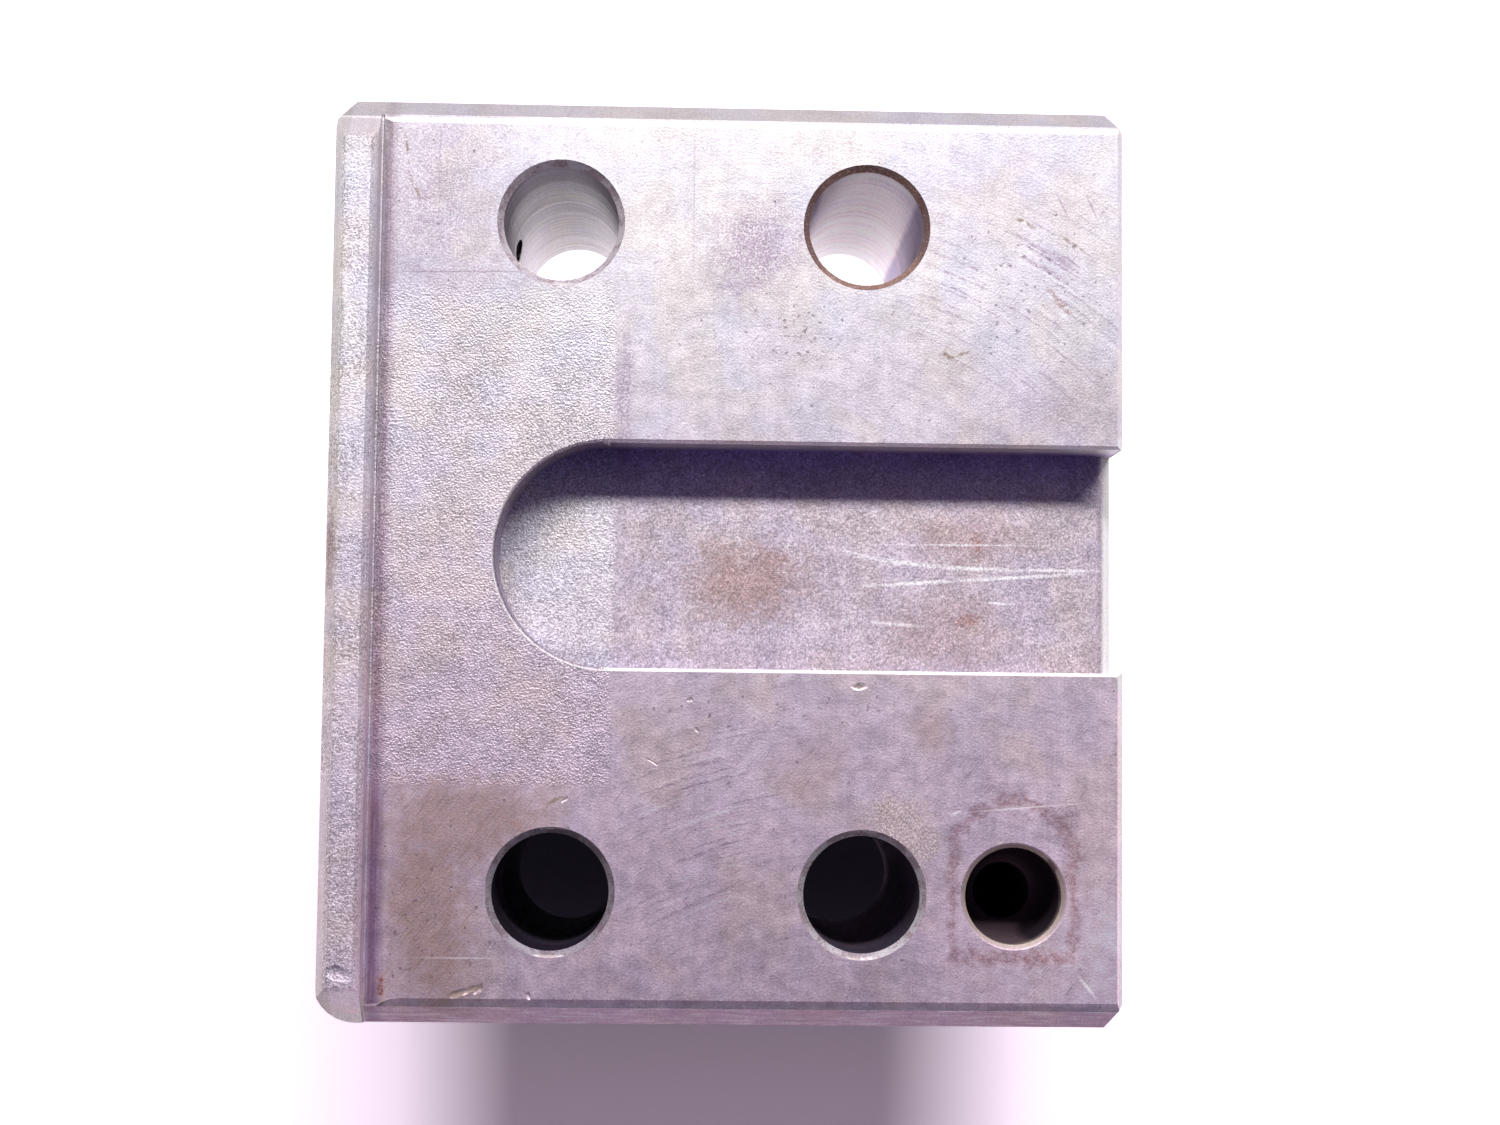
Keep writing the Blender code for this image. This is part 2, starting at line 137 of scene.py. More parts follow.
class Recipe:
    """One node tree, written as expressions."""

    def __init__(self, owner: bpy.types.Material | bpy.types.World) -> None:
        """Starts an empty tree.

        Args:
            owner: The material or the world that gets it.
        """
        owner.use_nodes = True
        self.owner = owner
        self.tree = owner.node_tree
        self.tree.nodes.clear()

    def node(self, kind: str, settings: dict | None = None, inputs: dict | None = None) -> bpy.types.Node:
        """Adds one node.

        Args:
            kind: The node's type.
            settings: Its properties, set before its sockets.
            inputs: What its sockets take, by name or number: a value or a link.

        Returns:
            The node.
        """
        made = self.tree.nodes.new(kind)
        for name, value in (settings or {}).items():
            setattr(made, name, value)
        for key, value in (inputs or {}).items():
            self.feed(made.inputs[key], value)
        return made

    def feed(self, socket: Socket, value: object) -> None:
        """Fills an input socket.

        Args:
            socket: The input.
            value: A Value or a socket to link, or a plain value to set.
        """
        if isinstance(value, Value):
            self.tree.links.new(value.socket, socket)
        elif isinstance(value, Socket):
            self.tree.links.new(value, socket)
        elif socket.type == "RGBA" and len(value) == 3:
            socket.default_value = (*value, 1.0)
        else:
            socket.default_value = value

    def maths(self, operation: str, *values: Number) -> Value:
        """One Math node on its values."""
        made = self.node("ShaderNodeMath", {"operation": operation}, dict(enumerate(values)))
        return Value(self, made.outputs[0])

    def vector(self, operation: str, *values: object, **named: object) -> Socket:
        """One Vector Math node on its vectors, whose result is a vector."""
        inputs = {**dict(enumerate(values)), **named}
        return self.node("ShaderNodeVectorMath", {"operation": operation}, inputs).outputs["Vector"]

    def length(self, vector: Socket) -> Value:
        """The length of a vector."""
        made = self.node("ShaderNodeVectorMath", {"operation": "LENGTH"}, {0: vector})
        return Value(self, made.outputs["Value"])

    def parts(self, vector: Socket) -> tuple[Value, ...]:
        """The three numbers of a vector."""
        made = self.node("ShaderNodeSeparateXYZ", None, {"Vector": vector})
        return tuple(Value(self, socket) for socket in made.outputs)

    def joined(self, x: Number, y: Number, z: Number) -> Socket:
        """A vector of three numbers."""
        return self.node("ShaderNodeCombineXYZ", None, {"X": x, "Y": y, "Z": z}).outputs["Vector"]

    def local(
        self, vector: Socket, place: Place3, turn: float = 0.0, size: Place3 = (1.0, 1.0, 1.0)
    ) -> Socket:
        """Coordinates seen from a place, turned and scaled there.

        Args:
            vector: The coordinates to read.
            place: The new zero point, in millimetres.
            turn: How far the new X axis is turned round Z, in degrees.
            size: What counts as 1 along each new axis, in millimetres.

        Returns:
            The local coordinates.
        """
        turned = (0.0, 0.0, math.radians(turn))
        inputs = {"Vector": vector, "Location": place, "Rotation": turned, "Scale": size}
        return self.node("ShaderNodeMapping", {"vector_type": "TEXTURE"}, inputs).outputs["Vector"]

    def noise(self, vector: Socket, grain: float, detail: float = 2.0, rough: float = 0.5) -> Value:
        """Soft noise round 0.5.

        Args:
            vector: The coordinates, in millimetres.
            grain: The size of the largest lumps, in millimetres.
            detail: How many finer layers are added.
            rough: How strong the finer layers are.

        Returns:
            The noise, between 0 and 1.
        """
        inputs = {"Vector": vector, "Scale": 1 / grain, "Detail": detail, "Roughness": rough}
        return Value(self, self.node("ShaderNodeTexNoise", None, inputs).outputs[0])

    def noises(self, vector: Socket, grain: float, detail: float, rough: float) -> tuple[Value, ...]:
        """Three unlike noises from one node.

        Args:
            vector: The coordinates, in millimetres.
            grain: The size of the largest lumps, in millimetres.
            detail: How many finer layers are added.
            rough: How strong the finer layers are.

        Returns:
            The noises, each round 0.5.
        """
        inputs = {"Vector": vector, "Scale": 1 / grain, "Detail": detail, "Roughness": rough}
        made = self.node("ShaderNodeTexNoise", None, inputs)
        apart = self.node("ShaderNodeSeparateColor", None, {"Color": made.outputs[1]})
        sockets = (made.outputs[0], apart.outputs[1], apart.outputs[2])
        return tuple(Value(self, socket) for socket in sockets)

    def blend(self, share: Number, under: object, over: object, mode: str = "MIX") -> Socket:
        """A colour over another.

        Args:
            share: How much of the upper colour is seen.
            under: The lower colour.
            over: The upper colour.
            mode: How they are blended, by the Mix node's name for it.

        Returns:
            The blended colour.
        """
        settings = {"data_type": "RGBA", "blend_type": mode}
        return self.node("ShaderNodeMix", settings, {0: share, 6: under, 7: over}).outputs[2]

    def grey(self, value: Value) -> Socket:
        """A number as a grey colour."""
        return self.node("ShaderNodeCombineColor", None, {0: value, 1: value, 2: value}).outputs[0]


class Surface(Recipe):
    """A material, read in millimetres on its object's own coordinates."""

    def __init__(self, name: str) -> None:
        """Starts an empty material.

        Args:
            name: Its name.
        """
        super().__init__(bpy.data.materials.new(name))
        texture = self.node("ShaderNodeTexCoord")
        self.point = self.vector("SCALE", texture.outputs["Object"], Scale=1 / MM)
        self.plan = self.vector("MULTIPLY", self.point, (1.0, 1.0, 0.0))
        self.x, self.y, self.z = self.parts(self.point)
        self.normal_x, self.normal_y, self.normal_z = self.parts(texture.outputs["Normal"])

    def away(self, place: Place) -> Value:
        """The distance from an upright line through a place on the plan."""
        return self.length(self.local(self.plan, (*place, 0.0)))

    def streaks(self, start: Place3, turn: float, size: Place3, detail: float = 1.0) -> Value:
        """Noise with lumps of this size along axes that start and turn as local() says."""
        return self.noise(self.local(self.point, start, turn, size), 1.0, detail)

    def finish(self, sockets: dict) -> bpy.types.Material:
        """Ends the tree with a Principled shader.

        Args:
            sockets: What its sockets take, by name.

        Returns:
            The material.
        """
        shader = self.node("ShaderNodeBsdfPrincipled", None, sockets)
        self.node("ShaderNodeOutputMaterial", None, {"Surface": shader.outputs[0]})
        return self.owner


class Outline(Enum):
    """The outline of a mark."""

    ROUND = "round"
    SQUARE = "square"


@dataclass(frozen=True)
class Mark:
    """One mark on the steel, in millimetres on the plan of the block.

    Attributes:
        place: Its middle.
        size: Half its length and half its width.
        turn: How far its length is turned from X, in degrees.
        soft: How wide its edge is, as a share of its size.
        ragged: How far its edge wanders, as a share of its size.
        strength: How strong it is, 1 at most.
        outline: Whether it is round or square.
    """

    place: Place
    size: Place
    turn: float = 0.0
    soft: float = 0.8
    ragged: float = 0.5
    strength: float = 1.0
    outline: Outline = Outline.ROUND

    def mask(self, recipe: Surface, wander: Value) -> Value:
        """How much of the mark there is at each point.

        Args:
            recipe: The material's tree.
            wander: Noise round 0, which moves the mark's edge.

        Returns:
            The mask, between 0 and the mark's strength.
        """
        turn = math.radians(self.turn)
        along = self.measured(recipe, (math.cos(turn), math.sin(turn)), self.size[0])
        across = self.measured(recipe, (-math.sin(turn), math.cos(turn)), self.size[1])
        if self.outline is Outline.SQUARE:
            reach = abs(along).larger(abs(across))
        else:
            reach = recipe.maths("SQRT", recipe.maths("MULTIPLY_ADD", along, along, across * across))
        reach = recipe.maths("MULTIPLY_ADD", wander, self.ragged, reach)
        slope = 0.5 / self.soft
        mask = recipe.maths("MULTIPLY_ADD", reach, -slope, slope + 0.5)
        mask.socket.node.use_clamp = True
        return mask if self.strength == 1 else mask * self.strength

    def measured(self, recipe: Surface, axis: Place, half: float) -> Value:
        """How far a point is from the mark's middle along one of its axes.

        Args:
            recipe: The material's tree.
            axis: The axis, as a vector of length 1.
            half: Half the mark's size along it, which counts as 1.

        Returns:
            The distance, with its sign.
        """
        x, y = (value / half for value in axis)
        shift = -(self.place[0] * x + self.place[1] * y)
        return recipe.maths("MULTIPLY_ADD", recipe.y, y, recipe.maths("MULTIPLY_ADD", recipe.x, x, shift))


Marks = tuple[Mark, ...]


def all_marks(marks: Marks, recipe: Surface, wander: Value) -> Value:
    """The masks of several marks as one.

    Args:
        marks: The marks, one or more.
        recipe: The material's tree.
        wander: Noise round 0, which moves their edges.

    Returns:
        The largest of the masks at each point.
    """
    whole = marks[0].mask(recipe, wander)
    for mark in marks[1:]:
        whole = whole.larger(mark.mask(recipe, wander))
    return whole


@dataclass(frozen=True)
class SeatPlan:
    """Places on the block that its finish follows, in millimetres.

    Attributes:
        seat_height, slot_floor, hump: Heights of the seat face, the slot's floor and the hump.
        slot_end, slot_side: X just outside the slot's round end, and how far its edges reach along Y.
        lip_inner, lip_bevel: X of the lip's inner face and of its outer bevel.
        blast_right, blast_bottom, blast_top: The edges of the blasted zone.
        half_length, half_width: Half the block's size along Y and along X.
        bolt_columns, bolt_rows, bolt_radius: X and Y of the bolt holes, and their radius.
        inlet, inlet_radius: The coolant inlet.
        print_middle, print_half_width: The middle of the seal print's arch, and half its width.
        print_foot: Y of the print's straight side.
        dented_middle, dented_half: The middle and half the size of the part whose dents get painted shade.
        swirl_middle, swirl_shift: The middle of the upper arcs, and the way to the lower arcs' middle.
    """

    seat_height: float = 82.5
    slot_floor: float = 75.0
    slot_end: float = -29.0
    slot_side: float = 15.0
    hump: float = 32.0
    lip_inner: float = -42.65
    lip_bevel: float = -46.0
    half_length: float = 55.75
    half_width: float = 47.85
    blast_right: float = -13.9
    blast_bottom: float = -27.4
    blast_top: float = 24.5
    bolt_columns: Place = (-20.7, 16.5)
    bolt_rows: Place = (-40.05, 40.65)
    bolt_radius: float = 7.0
    inlet: Place = (34.7, -40.05)
    inlet_radius: float = 5.8
    print_middle: Place = (34.6, -36.0)
    print_half_width: float = 7.2
    print_foot: float = -47.3
    dented_middle: Place = (2.0, -22.7)
    dented_half: Place = (41.0, 8.3)
    swirl_middle: Place = (5.3, -19.5)
    swirl_shift: Place = (10.9, -69.8)


class Film(Enum):
    """What thin films of dirt, and the painted shade laid where light falls short, leave of red, green and
    blue.
    """

    COOL = (0.95, 0.965, 1.0)
    WARM = (1.0, 0.99, 0.93)
    SLOT_FLOOR = (1.0, 0.93, 0.97)
    SEAL_PRINT = (0.68, 0.55, 0.54)
    LIP_FOOT = (0.68, 0.62, 0.66)
    OILY_FOOT = (0.72, 0.66, 0.80)
    NEAR_CHAMFER = (0.64, 0.49, 0.60)
    FAR_CHAMFER = (0.5, 0.5, 0.5)
    LIP_END = (0.66, 0.64, 0.66)
    LIP_BEVEL = (0.86, 0.88, 0.83)
    FAR_CORNER = (0.58, 0.54, 0.78)
    NEAR_CORNER = (0.76, 0.77, 0.78)
    OUTER_SIDE = (0.6, 0.61, 0.6)
    LIP_SIDE_WALL = (0.58, 0.54, 0.62)
    RIM_SMUDGE = (0.68, 0.59, 0.60)
    INLET_STEP = (0.3, 0.3, 0.36)
    SHADED_WALL = (0.45, 0.42, 0.55)
    LOWER_BORE = (0.22, 0.20, 0.27)
    GAP = (0.1, 0.08, 0.12)


class Grain:
    """Noise that all the layers of a finish share, from fine to coarse: numbers round 0.5."""

    def __init__(self, steel: Surface) -> None:
        """Adds the noise to a tree.

        Args:
            steel: The material's tree.
        """
        self.fleck, self.fine, self.speck = steel.noises(steel.point, 0.24, 1.0, 0.6)
        self.spot, self.hatch, self.close = steel.noises(steel.point, 0.8, 1.0, 0.6)
        self.lump, self.crowd, self.ragged = steel.noises(steel.point, 2.0, 2.0, 0.7)
        self.cloud, self.cool, self.warm = steel.noises(steel.point, 8.0, 1.0, 0.6)


class Coat:
    """A finish while its layers go on."""

    def __init__(self, steel: Surface, colour: object) -> None:
        """Starts with bare metal.

        Args:
            steel: The material's tree.
            colour: The metal's colour.
        """
        self.steel = steel
        self.colour = colour
        self.dull = 0.0

    def paint(self, mask: Value, colour: Colour, dull: float = 0.0) -> None:
        """Lays a colour over the finish.

        Args:
            mask: How much of it there is.
            colour: Its colour.
            dull: How far it hides the shine of the metal.
        """
        self.colour = self.steel.blend(mask, self.colour, colour)
        if dull:
            self.dull = self.steel.maths("MAXIMUM", mask * dull, self.dull)

    def tint(self, mask: Value, film: Film) -> None:
        """Dims the finish by a film of dirt or by painted shade, as far as the mask says."""
        self.colour = self.steel.blend(mask, self.colour, film.value, "MULTIPLY")

    def shade(self, light: Value) -> None:
        """Makes the finish lighter or darker."""
        self.colour = self.steel.blend(1.0, self.colour, self.steel.grey(light), "MULTIPLY")


@dataclass(frozen=True)
class WornSteel:
    """Alloy steel, part ground and part blasted, with stains, scratches and rust, and with painted light
    and shade.

    Attributes:
        plan: Where the parts of the block are.
        bright, low: Clean steel, and the pinker colour painted towards the -Y end as painted light.
        grime, film: Dark dirt in pits, and thin violet dirt, which the broad smudges also lay as painted
            shade.
        stain, olive, rust: Brown stains, dried oil and rust.
        rusty_rim, rim_highlight: The rust on one bolt hole's rim, and the painted highlight on the others'
            rims.
        dent_shade, galled: Dark brown painted shade in dents, and flecks of torn steel.
        inlet_rim, inlet_oil_and_shade: The coolant inlet's rim, and the dark oil and painted shade inside
            the inlet.
        rubbed, scuffed, scratched, arc_light: Painted highlights on the slot's edges, fine and larger
            scratches, and arcs.
        gloss_grain, bore_grain: Roughness of ground steel and of bored holes.
        washes, smudges: Where the brown stains and the thin dirt are.
        pit_fields, arc_fields: Where small pits crowd, and where the arcs are strong.
        rusts, dried_oil: Spots of rust and of dried oil.
        washes, smudges_and_shade: Where the brown stains are, and where the thin dirt and the painted
            shade of broad smudges are.
        galled_patch: Where flecks of torn steel crowd.
    """

    plan: SeatPlan = SeatPlan()
    bright: Colour = (0.75, 0.71, 0.75)
    low: Colour = (0.84, 0.67, 0.77)
    grime: Colour = (0.13, 0.09, 0.12)
    film: Colour = (0.41, 0.315, 0.41)
    stain: Colour = (0.48, 0.305, 0.28)
    olive: Colour = (0.31, 0.23, 0.18)
    rust: Colour = (0.30, 0.11, 0.10)
    rusty_rim: Colour = (0.26, 0.15, 0.12)
    rim_highlight: Colour = (0.95, 0.89, 0.905)
    dent_shade: Colour = (0.40, 0.32, 0.31)
    inlet_rim: Colour = (0.60, 0.47, 0.42)
    inlet_oil_and_shade: Colour = (0.22, 0.15, 0.18)
    rubbed: Colour = (0.97, 0.95, 0.96)
    scuffed: Colour = (0.95, 0.93, 0.95)
    scratched: Colour = (0.97, 0.93, 0.96)
    arc_light: Colour = (0.92, 0.90, 0.92)
    galled: Colour = (0.95, 0.88, 0.86)
    gloss_grain: float = 0.52
    bore_grain: float = 0.5
    washes: Marks = (
        Mark((2.8, -2.2), (6.6, 4.6), 0.0, 0.45, 1.6, 0.8),
        Mark((-31.5, -32.0), (9.5, 5.5), 0.0, 0.4, 1.4, 0.8),
        Mark((-35.0, -42.5), (4.6, 11.5), 6.0, 0.4, 1.4, 0.9),
        Mark((21.6, -32.2), (4.4, 3.0), -38.0, 0.35, 1.8, 0.5),
        Mark((10.2, -25.2), (4.2, 4.0), 0.0, 0.4, 1.2, 0.35),
        Mark((24.8, -20.5), (2.0, 2.6), 0.0, 0.6, 1.4, 0.4),
        Mark((29.5, 3.5), (6.5, 3.2), 0.0, 0.5, 1.4, 0.5),
        Mark((27.5, -8.0), (6.5, 4.5), 0.0, 0.5, 1.8, 0.45),
    )
    smudges_and_shade: Marks = (
        Mark((3.2, 37.8), (5.4, 4.6), 40.0, 0.6, 2.0, 0.9),
        Mark((-12.7, 19.5), (1.1, 7.0), 0.0, 0.6, 2.0, 0.8),
        Mark((41.0, -31.0), (2.6, 1.6), 25.0, 0.5, 2.0, 0.6),
        # Painted shade: the three broad, faint marks below dim the seat's right side and upper corners,
        # which the lamp lights too brightly.
        Mark((40.0, 18.5), (9.0, 4.0), 0.0, 0.9, 1.5, 0.5),
        Mark((-36.0, 43.0), (8.5, 13.0), 0.0, 0.9, 1.5, 0.7),
        Mark((36.0, 46.0), (14.0, 6.0), 0.0, 0.9, 1.5, 0.3),
    )
    pit_fields: Marks = (
        Mark((8.5, 28.0), (6.5, 4.0), -25.0, 0.7, 1.5),
        Mark((38.0, 33.5), (9.0, 8.0), 0.0, 0.8, 1.5, 0.75),
        Mark((-36.0, -44.0), (6.0, 9.0), 0.0, 0.7, 1.2, 0.8),
        Mark((3.0, -17.5), (26.0, 3.0), 0.0, 0.8, 1.5, 0.6),
    )
    arc_fields: Marks = (
        Mark((35.5, 32.0), (13.0, 12.0), -35.0, 0.5, 0.8),
        Mark((-2.5, -31.5), (9.0, 13.0), -10.0, 0.5, 0.8),
    )
    rusts: Marks = (
        Mark((-40.4, -51.4), (0.45, 1.3), 0.0, 0.5, 2.2),
        Mark((31.2, 2.7), (0.7, 1.5), 5.0, 0.6, 2.6, 0.6),
        Mark((29.6, -6.8), (1.5, 0.6), 10.0, 0.6, 2.6, 0.7),
        Mark((40.1, 31.8), (1.6, 0.35), -51.0, 0.5, 2.6, 0.75),
        Mark((-47.3, 0.3), (0.5, 4.2), 0.0, 0.5, 2.2, 0.6),
    )
    dried_oil: Marks = (
        Mark((-20.3, -29.2), (1.1, 0.3), 30.0, 0.4, 1.6, 0.85),
        Mark((26.3, 25.1), (0.6, 0.3), -40.0, 0.4, 1.6, 0.9),
        Mark((28.2, 25.3), (1.6, 0.16), 21.0, 0.5, 1.8, 0.8),
        Mark((35.9, 41.5), (1.1, 0.25), -26.0, 0.5, 1.8, 0.8),
        Mark((42.2, 38.7), (1.9, 0.18), -34.0, 0.5, 2.2, 0.6),
        Mark((-30.6, -51.9), (2.2, 0.55), 16.0, 0.4, 1.4, 0.8),
        Mark((-39.5, 49.5), (0.15, 1.9), 8.0, 0.5, 1.6, 0.8),
        Mark((-38.4, 44.6), (0.16, 1.6), 24.0, 0.5, 1.6, 0.8),
        Mark((-37.5, -43.5), (0.8, 0.14), -40.0, 0.5, 1.8, 0.9),
    )
    scratches: Marks = (
        Mark((22.2, 0.3), (4.2, 0.22), -6.0, 0.7),
        Mark((30.7, -0.3), (4.5, 0.22), -2.0, 0.7),
        Mark((41.1, -0.4), (6.2, 0.15), 0.0, 0.7),
        Mark((23.5, -2.2), (5.1, 0.18), 4.0, 0.7),
        Mark((35.0, -1.4), (6.7, 0.18), 4.0, 0.7),
        Mark((29.0, 2.6), (7.5, 0.1), 0.5, strength=0.8),
        Mark((17.0, 1.1), (3.2, 0.12), -14.0, strength=0.8),
        Mark((21.0, -7.3), (2.5, 0.16), -4.0, strength=0.8),
        Mark((33.8, -4.6), (1.5, 0.12), -3.0),
        Mark((27.7, -30.2), (0.5, 0.16), 24.0),
        Mark((35.8, -29.5), (5.6, 0.09), 5.0, strength=0.7),
        Mark((-31.3, -47.9), (3.7, 0.08), strength=0.7),
        Mark((43.5, -50.7), (1.3, 0.14), -51.0),
    )
    lines: Marks = (
        Mark((-32.4, 34.4), (6.8, 0.08), 1.0, strength=0.8, outline=Outline.SQUARE),
        Mark((40.3, 43.9), (1.4, 0.09), -63.0, strength=0.8),
        Mark((44.0, 43.6), (1.4, 0.09), -65.0, strength=0.8),
        Mark((-4.6, 44.0), (0.08, 9.0), strength=0.4),
        Mark((-35.5, 48.2), (0.1, 4.4), strength=0.45),
        Mark((-37.0, 43.4), (1.6, 0.14), 4.0, strength=0.7),
    )
    galled_patch: Mark = Mark((21.6, -32.0), (5.0, 3.0), -38.0, 0.4, 1.8)

    def mixed(self) -> bpy.types.Material:
        """The steel as a material."""
        return Layers(self).finished()


class Layers:
    """The layers of worn steel, which go over each other in one tree."""

    def __init__(self, look: WornSteel) -> None:
        """Starts with clean steel, painted pinker towards its -Y end as painted light.

        Args:
            look: The finish's colours and marks.
        """
        self.look = look
        self.plan = look.plan
        self.steel = steel = Surface("worn_steel")
        self.grain = grain = Grain(steel)
        self.up = steel.normal_z.rising(0.55, 0.9)
        self.seat = self.up * self.from_floor(-1.5, -0.5)
        self.zone = self.blasted()
        smooth = (grain.cloud + (grain.crowd - 0.5) * 0.4).rising(0.62, 0.46) * 0.5 + 0.5
        top = self.plan.blast_top
        faded = (steel.y + (grain.ragged - 0.5) * 14).rising(top + 3, top - 3)
        self.blast = self.zone * smooth * faded.larger(self.crest())
        self.ground = self.seat * (1 - self.blast)
        # Painted light: the steel turns pinker towards -Y, standing in for the pinker light that the dim
        # lower face gets.
        painted_low_light = steel.y.rising(42.0, -46.0) * (self.from_seat(-0.4, -0.1) * 0.75 + 0.25)
        painted_low_light = painted_low_light * (steel.x.rising(-44.0, -42.0) * 0.4 + 0.6)
        self.coat = Coat(steel, steel.blend(painted_low_light, look.bright, look.low))

    def finished(self) -> bpy.types.Material:
        """Lays every layer and ends the tree.

        Returns:
            The material.
        """
        self.cloud()
        hatch = self.scratch()
        self.swirl()
        self.stain_seat(hatch)
        self.pit()
        self.shade_edges_and_sides()
        self.soil_rims()
        self.highlight_and_shade_slot_edges()
        bores = self.streak_bores()
        self.sparkle()
        look, grain, coat, blast = self.look, self.grain, self.coat, self.blast
        etched = self.from_floor(1.0, 0.5) * self.seat * blast * 0.7
        height = (grain.fleck - 0.5) * (self.zone * 0.05 + 0.018)
        bump = self.steel.node("ShaderNodeBump", None, {"Strength": 1.0, "Distance": MM, "Height": height})
        rough = look.gloss_grain + (grain.lump - 0.5) * 0.14 + coat.dull * 0.2
        rough = rough - bores * (look.gloss_grain - look.bore_grain) - blast * (grain.fleck - 0.5) * 0.3
        rough = rough + blast * 0.03 + self.crest().larger(etched) * 0.09
        return self.steel.finish(
            {
                "Base Color": coat.colour,
                "Metallic": 1 - coat.dull * 0.75,
                "Roughness": rough,
                "Normal": bump.outputs["Normal"],
            }
        )

    def from_seat(self, start: float, end: float) -> Value:
        """A step in height between two levels, measured up from the seat face."""
        return self.steel.z.rising(self.plan.seat_height + start, self.plan.seat_height + end)

    def from_floor(self, start: float, end: float) -> Value:
        """A step in height between two levels, measured up from the slot's floor."""
        return self.steel.z.rising(self.plan.slot_floor + start, self.plan.slot_floor + end)

    def from_lip(self, start: float, end: float) -> Value:
        """A step along X between two places, measured from the lip's inner face."""
        return self.steel.x.rising(self.plan.lip_inner + start, self.plan.lip_inner + end)

    def past_slot_end(self) -> Value:
        """The side of the block that the slot is on, from its round end to its mouth."""
        return self.steel.x.rising(self.plan.slot_end - 1, self.plan.slot_end)

    def crest(self) -> Value:
        """The top of the lip."""
        return self.from_seat(2.5, 3.0)

    def blasted(self) -> Value:
        """The blasted zone beside the lip, on the lip's crest and in the slot's round end.

        Returns:
            Its mask.
        """
        plan = self.plan
        edge = self.steel.x.rising(plan.blast_right + 0.5, plan.blast_right - 0.5)
        low = self.steel.y.rising(plan.blast_bottom - 0.4, plan.blast_bottom + 0.4)
        top = self.steel.y.rising(plan.blast_top + 10, plan.blast_top + 5)
        return (edge * low * top).larger(self.crest())

    def cloud(self) -> None:
        """Cooler and yellower clouds, light and dark ones, and painted light on the seat's -Y, +X corner
        and on the lip's crest towards +Y.
        """
        steel, grain, coat = self.steel, self.grain, self.coat
        coat.tint(grain.cool.rising(0.46, 0.62), Film.COOL)
        coat.tint(grain.warm.rising(0.46, 0.62), Film.WARM)
        flat = self.from_seat(-0.2, -0.05)
        # Painted light: the seat's -Y, +X corner and the lip's crest towards +Y are lightened.
        painted_light = steel.x.rising(18.0, 44.0) * steel.y.rising(-22.0, -48.0) * flat * 0.28
        painted_light = painted_light + self.crest() * steel.y.rising(0.0, 45.0) * 0.2
        right = self.plan.blast_right
        coat.tint(self.from_floor(4.0, 2.0) * steel.x.rising(right - 1, right + 1), Film.SLOT_FLOOR)
        coat.shade(
            1 + painted_light + (grain.cloud - 0.5) * 0.3 + (grain.lump - 0.5) * 0.36 + (grain.fine - 0.5) * 0.5
        )

    def scratch(self) -> Value:
        """Lays fine grinding lines and short stray scratches.

        Returns:
            The slanting scratches, which the stains also show.
        """
        steel, grain, coat, look = self.steel, self.grain, self.coat, self.look
        drawn = steel.streaks((0.0, 0.0, 0.0), 90.0, (9.0, 0.16, 9.0))
        slanting = steel.streaks((3.0, 5.0, 0.0), 52.0, (3.2, 0.15, 3.2), 0.0)
        crossing = steel.streaks((9.0, 1.0, 0.0), -28.0, (2.6, 0.13, 2.6), 0.0)
        coat.shade(1 + (drawn - 0.5) * 0.22)
        crowded = slanting.rising(0.70, 0.78) * grain.crowd.rising(0.45, 0.6)
        coat.paint(crowded * self.ground * 0.6, look.film)
        rubbed = grain.lump.rising(0.45, 0.6) * self.ground
        coat.paint(crossing.rising(0.68, 0.76) * rubbed * 0.5, look.scuffed)
        return slanting

    def swirl(self) -> None:
        """Thin dark and light arcs round two middles, where the block was turned on grit."""
        steel, grain, plan = self.steel, self.grain, self.plan
        lower = steel.y.rising(1.0, -1.0)
        x = steel.x - plan.swirl_middle[0] - lower * plan.swirl_shift[0]
        y = steel.y - plan.swirl_middle[1] - lower * plan.swirl_shift[1]
        radius = steel.length(steel.joined(x, y, 0.0))
        bent = radius + (grain.lump - 0.5) * 0.6
        lines = steel.noise(steel.joined(bent / 0.45, x / 13, 0.0), 1.0, 1.0, 0.6)
        fields = all_marks(self.look.arc_fields, steel, grain.ragged - 0.5)
        fields = fields.larger(steel.x.rising(-12.0, 0.0) * 0.3) * self.ground
        broken = (grain.speck + (grain.hatch - 0.5) * 0.6).rising(0.42, 0.6) * 0.8 + 0.1
        self.coat.paint(lines.rising(0.55, 0.65) * fields * broken, self.look.film)
        self.coat.paint(lines.rising(0.40, 0.30) * fields * 0.5, self.look.arc_light)

    def stain_seat(self, hatch: Value) -> None:
        """Brown washes, smudges, rust, dried oil and the larger scratches, with painted shade in the dents
        and the broad smudges.

        Args:
            hatch: The slanting scratches, which stay darker in a stain.
        """
        steel, grain, coat, look, seat = self.steel, self.grain, self.coat, self.look, self.seat
        wander = grain.ragged - 0.5
        close = grain.close - 0.5
        washed = all_marks(look.washes, steel, wander) * seat
        printed = self.inlet_print() * seat
        coat.paint(washed * (grain.fine.rising(0.3, 0.6) * 0.6 + 0.4), look.stain, 0.25)
        coat.paint(washed * hatch.rising(0.56, 0.66) * 0.35, look.olive, 0.3)
        coat.tint(printed, Film.SEAL_PRINT)
